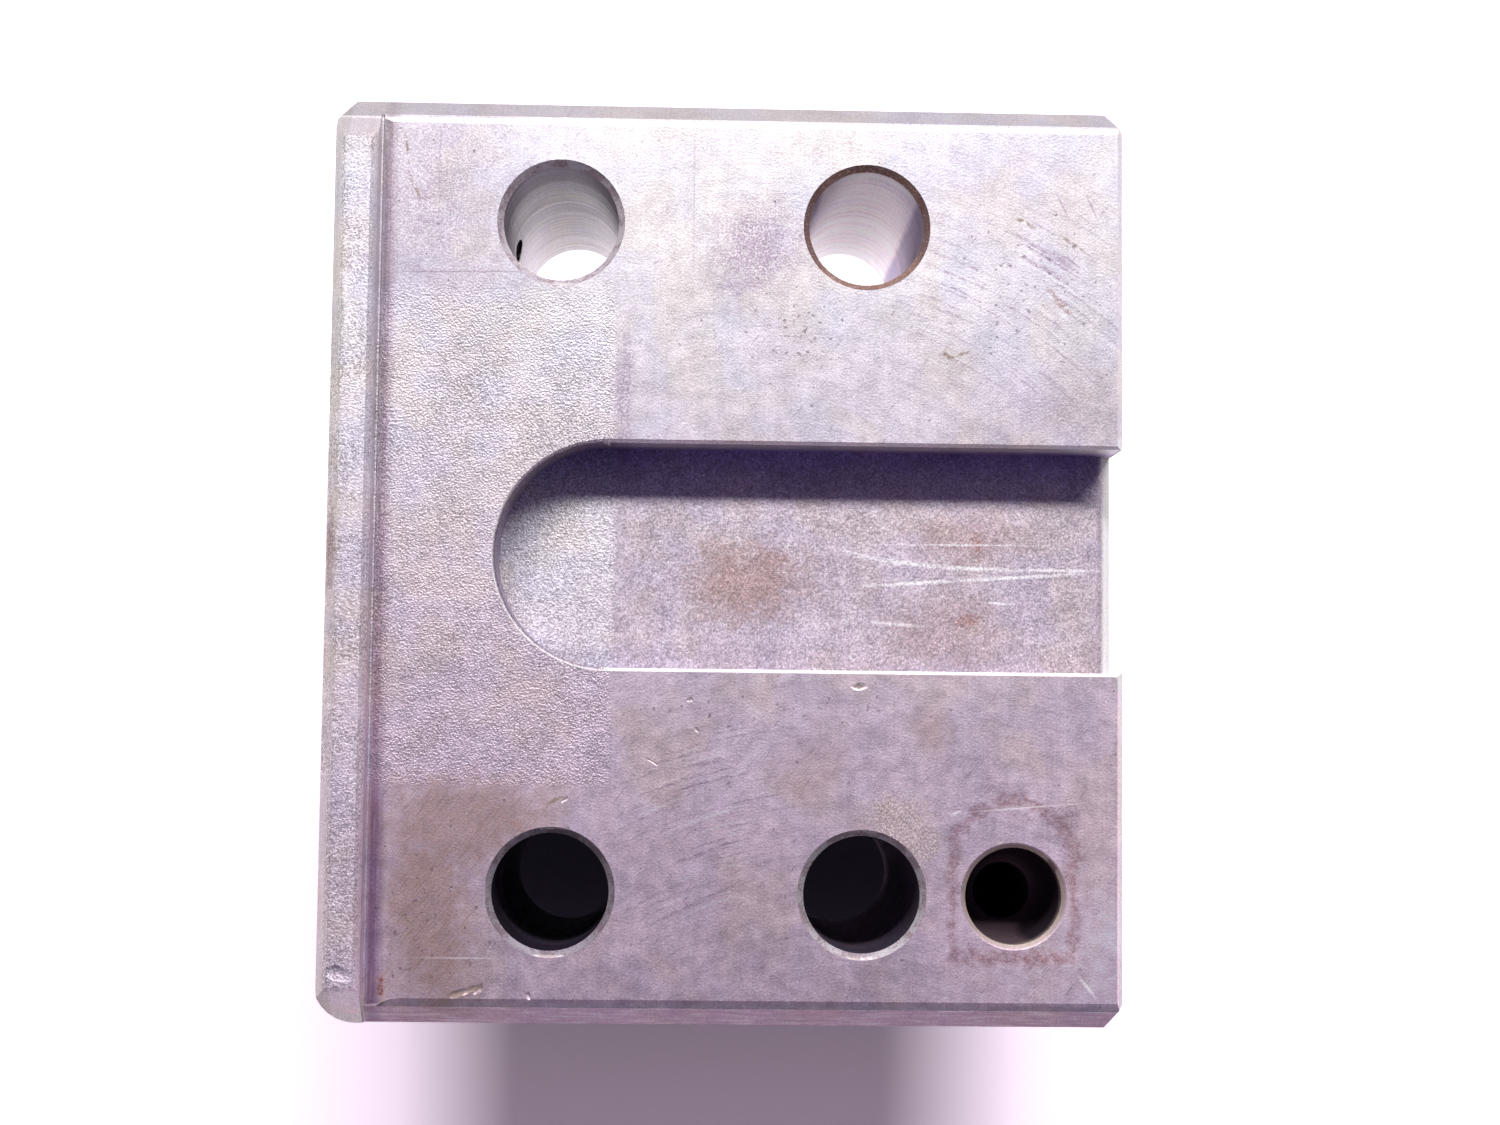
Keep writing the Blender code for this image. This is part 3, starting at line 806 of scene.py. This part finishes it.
        # Thin dirt, and painted shade where the broad smudge marks lie.
        smudged = all_marks(look.smudges_and_shade, steel, wander) * seat
        coat.paint(smudged * grain.fleck.rising(0.3, 0.65), look.film)
        rusty = all_marks(look.rusts, steel, close)
        coat.paint(rusty * grain.fine.rising(0.34, 0.54) * steel.normal_z.rising(0.2, 0.6), look.rust, 0.8)
        dried = all_marks(look.dried_oil, steel, close) * seat
        coat.paint(dried * grain.hatch.rising(0.36, 0.5), look.olive, 0.6)
        coat.paint(all_marks(look.scratches, steel, close * 0.5) * seat, look.scratched, 0.4)
        galled = look.galled_patch.mask(steel, wander) * seat
        coat.paint(galled * (grain.speck + grain.fleck).rising(0.95, 1.12) * 0.65, look.galled, 0.3)
        # Painted shade: the bottoms of the dents are painted dark brown.
        sunk = self.from_seat(-0.02, -0.1) * seat
        x, y = self.plan.dented_middle
        half_x, half_y = self.plan.dented_half
        sunk = sunk * abs(steel.y - y).rising(half_y, half_y - 0.2)
        sunk = sunk * abs(steel.x - x).rising(half_x, half_x - 1)
        coat.paint(sunk * grain.fine.rising(0.2, 0.5) * self.from_seat(-0.6, -0.5), look.dent_shade, 0.7)
        coat.paint(all_marks(look.lines, steel, close * 0.5) * seat, look.film)

    def inlet_print(self) -> Value:
        """The arch that a seal left round the coolant inlet.

        Returns:
            Its mask.
        """
        steel, grain, plan = self.steel, self.grain, self.plan
        x, y = plan.print_middle
        half = plan.print_half_width
        round_part = abs(steel.away(plan.print_middle) - half)
        upper = steel.y.rising(y - 0.5, y + 0.5)
        sides = abs(abs(steel.x - x) - half) + 0.3
        reach = upper * round_part + (1 - upper) * sides
        foot = abs(steel.y - plan.print_foot).larger(abs(steel.x - x) - half)
        reach = reach.larger(plan.print_foot - steel.y).smaller(foot)
        band = (reach + (grain.lump - 0.5) * 2.4).rising(1.3, 0.3)
        return band * ((grain.speck + (grain.spot - 0.5) * 0.8).rising(0.42, 0.58) * 0.75 + 0.2)

    def pit(self) -> None:
        """Small dark pits, crowded in some places and rare in the blasted zone."""
        grain, coat, look = self.grain, self.coat, self.look
        crowded = all_marks(look.pit_fields, self.steel, grain.ragged - 0.5)
        crowded = crowded.larger(grain.crowd.rising(0.5, 0.68) * 0.4)
        few = self.seat * (1 - self.blast * 0.7) * self.from_seat(-3.0, -2.0)
        deep = grain.spot + (grain.fleck - 0.5) * 0.3 + crowded * 0.15
        coat.paint(deep.rising(0.74, 0.84) * few * 0.6, look.grime, 0.2)
        worn = grain.speck + crowded * 0.12 + (grain.ragged - 0.5) * 0.2
        coat.paint(worn.rising(0.64, 0.80) * few * 0.55, look.film, 0.2)

    def shade_edges_and_sides(self) -> None:
        """Painted shade at the lip's foot, on both end chamfers, on the lip's +Y faces and in the slot's
        corners; a duller tone on the lip's outer bevel, and darker outer sides.
        """
        steel, coat, plan = self.steel, self.coat, self.plan
        streaks = steel.streaks((0.0, 0.0, 0.0), 90.0, (5.0, 0.3, 0.5))
        # Painted shade at the foot of the lip's inner wall, streaked, and deeper towards -Y.
        foot = self.from_lip(2.7, 1.2)
        foot = foot * self.from_lip(0.2, 0.8) * self.seat
        coat.tint(foot * streaks.rising(0.1, 0.5), Film.LIP_FOOT)
        coat.tint(foot * steel.y.rising(-26.0, -30.0), Film.OILY_FOOT)
        # Painted shade with streaks on the -Y end chamfer.
        across = steel.streaks((0.0, 0.0, 0.0), 0.0, (4.0, 0.35, 0.35))
        right_of_lip = self.from_lip(0.0, 0.3)
        sloping = steel.normal_z.rising(0.3, 0.5) * self.from_seat(-4.5, -3.5)
        chamfer = (plan.half_length - 2.3 + steel.y).rising(-0.1, -0.3) * sloping
        coat.tint(chamfer * right_of_lip * (across.rising(0.2, 0.6) * 0.5 + 0.5), Film.NEAR_CHAMFER)
        # Painted shade on the lip's faces that turn towards +Y.
        lip = self.from_lip(0.3, 0.0)
        coat.tint(lip * steel.normal_y.rising(0.4, 0.6) * self.from_seat(0.0, 0.5), Film.LIP_END)
        coat.tint(steel.x.rising(plan.lip_bevel, plan.lip_bevel - 0.5), Film.LIP_BEVEL)
        # Painted shade on the slot's floor along both of its walls.
        low = self.from_floor(4.5, 1.0) * self.from_floor(-1.0, -0.2) * self.past_slot_end()
        corner = steel.y.rising(8.0, 13.5) * steel.y.rising(15.0, 14.4)
        coat.tint(corner * low, Film.FAR_CORNER)
        near = steel.y.rising(-8.5, -12.5) * steel.y.rising(-13.9, -13.5)
        coat.tint(near * low, Film.NEAR_CORNER)
        # Painted shade on the +Y end chamfer.
        far_end = (steel.y - plan.half_length + 2.6).rising(0.0, 0.3) * sloping
        coat.tint(far_end, Film.FAR_CHAMFER)
        # The outer sides and the hidden body below the hump's top are darker.
        outer = abs(steel.y).rising(plan.half_length - 0.4, plan.half_length - 0.2)
        sides = abs(steel.x).rising(plan.half_width - 0.45, plan.half_width - 0.25)
        outer = outer.larger(sides) * steel.normal_z.rising(0.4, 0.2)
        coat.tint(outer.larger(steel.z.rising(plan.hump + 0.5, plan.hump - 0.5)), Film.OUTER_SIDE)

    def highlight_and_shade_slot_edges(self) -> None:
        """Painted highlights on the edges of the slot and its mouth, and painted shade on the slot's walls
        by its round end.
        """
        steel, plan = self.steel, self.plan
        slope = steel.normal_z.rising(0.97, 0.85) * steel.normal_z.rising(0.4, 0.6)
        facing = (steel.normal_x + steel.normal_y).rising(0.1, 0.4)
        rim = self.from_seat(-0.6, -0.5)
        mouth = self.from_floor(0.1, -0.1)
        inside = self.past_slot_end() * abs(steel.y).rising(plan.slot_side + 0.5, plan.slot_side)
        # Painted highlight: the slot's rim and mouth chamfers that face +X or +Y are painted near white
        # and dulled.
        self.coat.paint(slope * facing * inside * rim.larger(mouth), self.look.rubbed, 1.1)
        # Painted shade on the slot's walls by its round end.
        wall = steel.normal_z.rising(0.4, 0.2) * self.from_floor(-0.1, 0.1) * steel.x.rising(-10.0, -16.0)
        self.coat.tint(wall * inside, Film.LIP_SIDE_WALL)

    def soil_rims(self) -> None:
        """The rims of the bolt holes: one rusty, the others painted bright as a painted highlight and
        smudged.
        """
        grain, coat, look = self.grain, self.coat, self.look
        rusty = self.rim(1, 1) * (grain.fine.rising(0.25, 0.5) * 0.5 + 0.5)
        coat.paint(rusty, look.rusty_rim, 0.7)
        # Painted highlight: the rims of the other three bolt holes are painted near white and dulled, then
        # smudged.
        others = self.rim(0, 1).larger(self.rim(0, 0)).larger(self.rim(1, 0))
        coat.paint(others, look.rim_highlight, 0.4)
        coat.tint(others * (grain.lump + (grain.fine - 0.5) * 0.5).rising(0.45, 0.6), Film.RIM_SMUDGE)

    def rim(self, column: int, row: int) -> Value:
        """The chamfer of one bolt hole.

        Args:
            column: The hole's column, 0 beside the lip or 1.
            row: Its row, 0 at the -Y end or 1.

        Returns:
            The chamfer's mask.
        """
        plan = self.plan
        radius = self.steel.away((plan.bolt_columns[column], plan.bolt_rows[row]))
        near = radius.rising(plan.bolt_radius + 1.0, plan.bolt_radius + 0.7)
        high = self.from_seat(-1.1, -0.8)
        return near * high * self.from_seat(0.0, -0.05)

    def streak_bores(self) -> Value:
        """Lays ring marks in the bolt holes and old oil in the coolant inlet, with painted light and shade
        in both.

        Returns:
            The mask of the bolt holes' walls.
        """
        steel, grain, coat, look, plan = self.steel, self.grain, self.coat, self.look, self.plan
        inside = steel.away(plan.inlet).rising(plan.inlet_radius + 0.9, plan.inlet_radius + 0.7)
        coat.paint(inside * self.from_seat(-0.05, -0.3) * 0.8, look.inlet_rim, 0.4)
        # Oil and painted shade: the inlet's wall is painted dark below its rim.
        coat.paint(inside * (steel.z + (grain.lump - 0.5) * 3).rising(82.0, 79.0), look.inlet_oil_and_shade, 0.3)
        unlit = steel.y.rising(-44.4, -43.6).larger(steel.x.rising(36.0, 37.5))
        # Painted shade: the inlet's step is darkened where the lamp doesn't reach it.
        coat.tint(inside * self.from_seat(-0.5, -3.5) * unlit, Film.INLET_STEP)
        walls = self.beside_bolts()
        walls = (1 - self.up) * walls
        rings = steel.noise(steel.joined(steel.x / 26, steel.y / 26, steel.z / 0.9), 1.0, 1.0, 0.7)
        # Painted light: the +X bolt holes' walls are lightened over their ring marks.
        coat.shade(1 + walls * ((rings - 0.5) * 1.1 + steel.x.rising(0.0, 1.0) * 0.4 + 0.02))
        right = steel.x.rising(22.4, 23.0).larger(steel.x.rising(11.6, 10.4) * steel.z.rising(66.0, 76.0))
        coat.tint(walls * right * steel.x.rising(0.0, 1.0) * steel.y.rising(0.0, 1.0), Film.SHADED_WALL)
        # Painted shade: the walls of the -Y bolt holes are darkened to near black.
        coat.tint(walls * steel.y.rising(1.0, 0.0), Film.LOWER_BORE)
        # Painted shade on the upper walls of the -X bolt holes.
        coat.tint(walls * steel.x.rising(-10.0, -16.0) * steel.z.rising(72.0, 76.0), Film.LIP_SIDE_WALL)
        gap = steel.away((plan.bolt_columns[0], plan.bolt_rows[1]))
        gap = gap.rising(plan.bolt_radius + 0.05, plan.bolt_radius + 0.15) * steel.z.rising(64.0, 62.0)
        # Painted shade in the slit of the -X, +Y bolt hole.
        coat.tint(gap * walls * steel.x.rising(-5.0, -6.0), Film.GAP)
        return walls

    def beside_bolts(self) -> Value:
        """Strips of the block that hold the two rows of bolt holes.

        Returns:
            Their mask.
        """
        left, right = self.plan.bolt_columns
        low, high = self.plan.bolt_rows
        reach = self.plan.bolt_radius + 0.6
        rows = abs(abs(self.steel.y - (low + high) / 2) - (high - low) / 2).rising(reach, reach - 0.3)
        reach = reach + 0.2 + (right - left) / 2
        return rows * abs(self.steel.x - (left + right) / 2).rising(reach, reach - 0.3)

    def sparkle(self) -> None:
        """Light flecks between dark ones where the steel is blasted or etched: grain tone, with the
        brightest flecks as painted glints.
        """
        grain = self.grain
        etched = self.seat * self.from_seat(-3.0, -4.0) * 0.9
        # Painted glints: the sparse brightest specks lift the colour by up to half.
        flecks = (grain.fleck.rising(0.36, 0.64) - 0.5) * 0.45 + grain.speck.rising(0.6, 0.72) * 0.5
        flecks = flecks + (grain.hatch - 0.5) * 0.4 - self.from_floor(2.0, 4.0) * 0.09
        self.coat.shade(1 + flecks * self.blast.larger(etched) + (grain.speck - 0.5) * 0.55)


@dataclass(frozen=True)
class BlackSteel:
    """Blackened steel of the coolant plug, rubbed bright in patches.

    Attributes:
        black, rubbed: The blackened steel, and the steel of the rubbed patches.
        grain: Its roughness.
    """

    black: Colour = (0.045, 0.04, 0.045)
    rubbed: Colour = (0.30, 0.27, 0.28)
    grain: float = 0.45

    def mixed(self) -> bpy.types.Material:
        """The blackened steel as a material.

        Returns:
            The material.
        """
        steel = Surface("black_steel")
        patches = steel.noise(steel.point, 1.6, 4.0, 0.65).rising(0.5, 0.7)
        fine = steel.noise(steel.point, 0.25, 3.0) - 0.5
        colour = steel.blend(patches * 0.6, self.black, self.rubbed)
        bump = steel.node("ShaderNodeBump", None, {"Strength": 1.0, "Distance": MM, "Height": fine * 0.02})
        return steel.finish(
            {
                "Base Color": colour,
                "Metallic": 1.0,
                "Roughness": self.grain + fine * 0.2,
                "Normal": bump.outputs["Normal"],
            }
        )


@dataclass
class Workshop:
    """Everything that builds with operators: selecting, cutting and applying."""

    def only(self, thing: bpy.types.Object) -> None:
        """Selects one object alone and makes it active.

        Args:
            thing: The object.
        """
        bpy.ops.object.select_all(action="DESELECT")
        thing.select_set(True)
        bpy.context.view_layer.objects.active = thing

    def settled(self, thing: bpy.types.Object) -> None:
        """Puts an object's place, turn and scale into its mesh."""
        self.only(thing)
        bpy.ops.object.transform_apply(location=True, rotation=True, scale=True)

    def shade(self, piece: bpy.types.Object, angle: float) -> None:
        """Shades a piece smooth, with flat faces kept flat.

        Args:
            piece: The piece.
            angle: Edges that bend by more than this stay sharp, in radians.
        """
        self.only(piece)
        bpy.ops.object.shade_smooth_by_angle(angle=angle)
        weighted = piece.modifiers.new("flat_faces", "WEIGHTED_NORMAL")
        weighted.keep_sharp = True
        weighted.weight = 100
        bpy.ops.object.modifier_apply(modifier=weighted.name)

    def cut(self, piece: bpy.types.Object, cutter: bpy.types.Object) -> None:
        """Cuts a piece with another object.

        Args:
            piece: The piece.
            cutter: The object to cut with, which goes.
        """
        boolean = piece.modifiers.new("cut", "BOOLEAN")
        boolean.operation = "DIFFERENCE"
        boolean.solver = "EXACT"
        boolean.use_self = True
        boolean.object = cutter
        self.only(piece)
        bpy.ops.object.modifier_apply(modifier=boolean.name)
        bpy.data.objects.remove(cutter, do_unlink=True)


@dataclass(frozen=True)
class Nick:
    """A dent or gouge in the steel, as the hollow it leaves, in millimetres.

    Attributes:
        place: The middle of the hollow.
        size: Its half lengths before it is turned.
        turn: How far it is turned round Z, in degrees.
        seed: Which ragged form it takes.
    """

    place: Place3
    size: Place3
    turn: float = 0.0
    seed: int = 1


@dataclass
class HolderBlock:
    """The steel block: the solid of the frame with its dents, gouges and nicks cut in.

    Attributes:
        node: The node of the frame that it replaces.
        weld: Points nearer than this, in metres, are joined.
        flat_within: Faces that bend by less than this, in radians, become one.
        smooth_under: Edges that bend by less than this, in radians, are shaded smooth.
        ragged: How far a hollow's points wander, as a share of its least half length.
        nicks: The hollows to cut.
    """

    node: str = "holder_block"
    weld: float = 0.0005 * MM
    flat_within: float = math.radians(0.2)
    smooth_under: float = math.radians(16.0)
    ragged: float = 0.12
    nicks: tuple[Nick, ...] = (
        Nick((-30.8, -51.9, 83.47), (4.0, 1.1, 1.12), 18.0, 1),
        Nick((-28.9, -51.5, 83.27), (1.6, 1.0, 0.9), 55.0, 2),
        Nick((-23.0, -52.2, 83.47), (0.7, 1.2, 1.12), 10.0, 3),
        Nick((-45.0, -49.6, 86.57), (3.7, 1.8, 0.9), -14.0, 4),
        Nick((16.0, -15.1, 83.27), (2.2, 1.1, 0.86), 5.0, 5),
        Nick((-4.3, -17.0, 83.02), (0.9, 0.6, 0.6), 15.0, 6),
        Nick((-8.7, -24.5, 82.89), (2.4, 0.3, 0.45), -30.0, 7),
        Nick((-3.5, -20.6, 82.98), (1.2, 0.5, 0.56), -52.0, 14),
        Nick((-19.1, -29.1, 83.02), (1.4, 0.5, 0.6), 35.0, 8),
        Nick((-27.5, 42.0, 58.0), (1.0, 1.5, 3.4), 0.0, 9),
        Nick((-20.2, 53.2, 83.3), (1.3, 0.6, 1.0), 8.0, 10),
        Nick((-15.1, 53.4, 83.4), (1.8, 0.6, 1.1), -6.0, 11),
        Nick((-9.3, 53.2, 83.3), (1.0, 0.5, 1.0), 4.0, 12),
        Nick((2.4, 53.4, 83.3), (1.4, 0.5, 1.0), -3.0, 13),
        Nick((-27.6, 3.5, 83.3), (0.5, 1.4, 1.0), 4.0, 15),
        Nick((-26.9, -4.0, 83.3), (0.5, 1.1, 1.0), 12.0, 16),
    )

    def build(self, shop: Workshop) -> bpy.types.Object:
        """Makes the block's mesh.

        Args:
            shop: The operators' helper.

        Returns:
            The finished piece.
        """
        piece = frame["nodes"][self.node].copy()
        piece.data = piece.data.copy()
        piece.name = self.node + "_worn"
        piece.parent = None
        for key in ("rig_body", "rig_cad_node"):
            del piece[key]
        bpy.context.scene.collection.objects.link(piece)
        shop.only(piece)
        bpy.ops.object.mode_set(mode="EDIT")
        bpy.ops.mesh.select_all(action="SELECT")
        bpy.ops.mesh.remove_doubles(threshold=self.weld)
        bpy.ops.mesh.dissolve_limited(angle_limit=self.flat_within)
        bpy.ops.object.mode_set(mode="OBJECT")
        shop.cut(piece, self.hollows(shop))
        shop.shade(piece, self.smooth_under)
        return piece

    def hollows(self, shop: Workshop) -> bpy.types.Object:
        """All the nicks as one object to cut with.

        Args:
            shop: The operators' helper.

        Returns:
            The joined hollows.
        """
        made = []
        for nick in self.nicks:
            bpy.ops.object.select_all(action="DESELECT")
            bpy.ops.mesh.primitive_ico_sphere_add(
                subdivisions=3,
                radius=1.0,
                location=[value * MM for value in nick.place],
                rotation=(0.0, 0.0, math.radians(nick.turn)),
                scale=[value * MM for value in nick.size],
            )
            hollow = bpy.context.object
            bpy.ops.object.mode_set(mode="EDIT")
            bpy.ops.transform.vertex_random(offset=self.ragged * min(nick.size) * MM, seed=nick.seed)
            bpy.ops.object.mode_set(mode="OBJECT")
            shop.settled(hollow)
            made.append(hollow)
        for hollow in made:
            hollow.select_set(True)
        bpy.context.view_layer.objects.active = made[0]
        bpy.ops.object.join()
        return made[0]

    def dress(self, piece: bpy.types.Object) -> None:
        """Gives the block its finish and its place in the frame.

        Args:
            piece: The block's mesh.
        """
        piece.data.materials.clear()
        piece.data.materials.append(WornSteel().mixed())
        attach(piece, BODY)
        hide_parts(self.node)


@dataclass
class CoolantPlug:
    """The plug of the cross drilling, which keeps its solid and gets its finish.

    Attributes:
        node: Its node in the frame.
    """

    node: str = "coolant_plug"

    def dress(self) -> None:
        """Gives the plug its finish."""
        piece = frame["nodes"][self.node]
        piece.data.materials.clear()
        piece.data.materials.append(BlackSteel().mixed())


@dataclass
class Studio:
    """The table, the lamp, the room's light and the camera.

    Attributes:
        table_half: Half the table's size, in metres.
        table_colour, table_seen, table_mirrored: The table as it lights the block, as the camera sees it
            and as the steel mirrors it.
        painted_shadow_under_block: A painted shadow on the strip of table under the flange's -Y side,
            which the bolt holes show.
        shaded_x, shaded_near, shaded_far: Where that strip fades, in millimetres.
        lamp_elevation, lamp_turn: How high the lamp hangs and how far round Z, in degrees.
        lamp_distance: How far it is from the block's middle, in metres.
        lamp_half_width, lamp_half_height: Half its size as the block sees it, in degrees.
        lamp_level, lamp_colour: How bright it is, and its colour.
        overhead, overhead_from, overhead_full: The light from above, and the heights in the sky where it
            starts and is full.
        room_dark, room_low, horizon: The room as the steel mirrors it, its light below the overhead
            light, and its horizon.
        camera_place, camera_turn, camera_lens: The camera, in millimetres and degrees.
        block_middle: The height that the lamp is aimed at, in millimetres.
    """

    table_half: float = 30.0
    table_colour: Colour = (0.6, 0.6, 0.6)
    table_seen: Colour = (2.05, 1.79, 2.07)
    table_mirrored: Colour = (1.75, 1.68, 1.75)
    painted_shadow_under_block: Colour = (0.14, 0.13, 0.2)
    shaded_x: Place = (52.0, 46.0)
    shaded_near: Place = (-28.0, -32.0)
    shaded_far: Place = (-58.0, -54.0)
    lamp_elevation: float = 47.5
    lamp_turn: float = 4.0
    lamp_distance: float = 1.5
    lamp_half_width: float = 27.0
    lamp_half_height: float = 3.5
    lamp_level: float = 1.0
    lamp_colour: Colour = (1.0, 0.99, 0.985)
    overhead: Colour = (0.58, 0.51, 0.58)
    overhead_from: float = 0.86
    overhead_full: float = 0.94
    room_dark: Colour = (0.06, 0.046, 0.105)
    room_low: Colour = (0.02, 0.02, 0.02)
    horizon: Colour = (1.0, 0.98, 1.0)
    camera_place: Place3 = (-5.17, -20.817, 364.519)
    camera_turn: Place3 = (4.1113, -1.6437, 0.6514)
    camera_lens: float = 56.4
    block_middle: float = 60.0

    def build(self) -> None:
        """Sets the whole studio up."""
        self.lay_table()
        self.hang_lamp()
        self.light_room()
        self.stand_camera()

    def lay_table(self) -> None:
        """A pale table that keeps the block's shadow, is white around it, and has a painted shadow under
        the flange's -Y side.
        """
        bpy.ops.object.select_all(action="DESELECT")
        bpy.ops.mesh.primitive_plane_add(size=2 * self.table_half, location=(0.0, 0.0, 0.0))
        table = bpy.context.object
        table.name = "table"
        finish = Surface("pale_table")
        cloud = finish.noise(finish.point, 60.0, 3.0) - 0.5
        path = finish.node("ShaderNodeLightPath")
        seen = Value(finish, path.outputs["Is Camera Ray"])
        mirrored = Value(finish, path.outputs["Is Glossy Ray"])
        mirrored = mirrored + Value(finish, path.outputs["Is Transmission Ray"])
        mirrored = mirrored * Value(finish, path.outputs["Ray Depth"]).rising(2.0, 1.0)
        # Painted shadow: the strip of table under the flange's -Y side is painted dark for camera and
        # mirror rays.
        under = abs(finish.x).rising(*self.shaded_x) * finish.y.rising(*self.shaded_near)
        under = under * finish.y.rising(*self.shaded_far)
        tone = finish.blend(mirrored, self.table_colour, self.table_mirrored)
        tone = finish.blend(seen, tone, self.table_seen)
        tone = finish.blend(under * mirrored.larger(seen), tone, self.painted_shadow_under_block)
        tone = finish.blend(1.0, tone, finish.grey(1 + cloud * 0.02), "MULTIPLY")
        paint = finish.node("ShaderNodeBsdfDiffuse", None, {"Color": tone})
        finish.node("ShaderNodeOutputMaterial", None, {"Surface": paint.outputs[0]})
        table.data.materials.append(finish.owner)

    def hang_lamp(self) -> None:
        """One soft lamp behind the block's far side."""
        lamp = bpy.data.lights.new("soft_lamp", "AREA")
        lamp.shape = "RECTANGLE"
        lamp.size = 2 * self.lamp_distance * math.tan(math.radians(self.lamp_half_width))
        lamp.size_y = 2 * self.lamp_distance * math.tan(math.radians(self.lamp_half_height))
        rise = math.sin(math.radians(self.lamp_elevation))
        lamp.energy = self.lamp_level * math.pi**2 * self.lamp_distance**2 / rise
        lamp.color = self.lamp_colour
        hung = bpy.data.objects.new("soft_lamp", lamp)
        turn = math.radians(self.lamp_turn)
        reach = self.lamp_distance * math.cos(math.radians(self.lamp_elevation))
        aim = Vector((0.0, 0.0, self.block_middle * MM))
        hung.location = aim + Vector(
            (reach * math.sin(turn), reach * math.cos(turn), self.lamp_distance * rise)
        )
        hung.rotation_euler = (hung.location - aim).to_track_quat("Z", "Y").to_euler()
        bpy.context.scene.collection.objects.link(hung)

    def light_room(self) -> None:
        """A dark room with a white horizon, which lights the table faintly from overhead."""
        room = Recipe(bpy.data.worlds.new("room"))
        bpy.context.scene.world = room.owner
        where = room.node("ShaderNodeTexCoord")
        _, y, z = room.parts(where.outputs["Generated"])
        light = room.blend(z.rising(self.overhead_from, self.overhead_full), self.room_low, self.overhead)
        behind = y.rising(-0.6, 0.2) * 0.7 + 0.3
        mirrored = room.blend(z.rising(0.5, 0.05) * behind, self.room_dark, self.horizon)
        path = room.node("ShaderNodeLightPath")
        light = room.blend(Value(room, path.outputs["Is Glossy Ray"]), light, mirrored)
        for ray in ("Is Camera Ray", "Is Transmission Ray"):
            light = room.blend(Value(room, path.outputs[ray]), light, self.horizon)
        sky = room.node("ShaderNodeBackground", None, {"Color": light, "Strength": 1.0})
        room.node("ShaderNodeOutputWorld", None, {"Surface": sky.outputs[0]})

    def stand_camera(self) -> None:
        """The camera, where it stood over the block."""
        view = bpy.data.cameras.new("view")
        view.lens = self.camera_lens
        view.sensor_width = 36.0
        view.clip_start = 0.01
        view.clip_end = 100.0
        camera = bpy.data.objects.new("view", view)
        camera.location = [value * MM for value in self.camera_place]
        camera.rotation_euler = Euler([math.radians(value) for value in self.camera_turn], "XYZ")
        bpy.context.scene.collection.objects.link(camera)
        bpy.context.scene.camera = camera


def main() -> None:
    """Builds and dresses the pieces, logs the block's face count, then sets up the studio."""
    logging.basicConfig(level=logging.INFO, format="%(name)s: %(message)s")
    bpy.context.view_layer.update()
    bpy.context.scene.view_settings.view_transform = "Standard"
    shop = Workshop()
    block = HolderBlock()
    piece = block.build(shop)
    block.dress(piece)
    LOG.info("%s has %d faces", piece.name, len(piece.data.polygons))
    CoolantPlug().dress()
    Studio().build()
    bpy.context.view_layer.update()


if __name__ == "__main__":
    main()
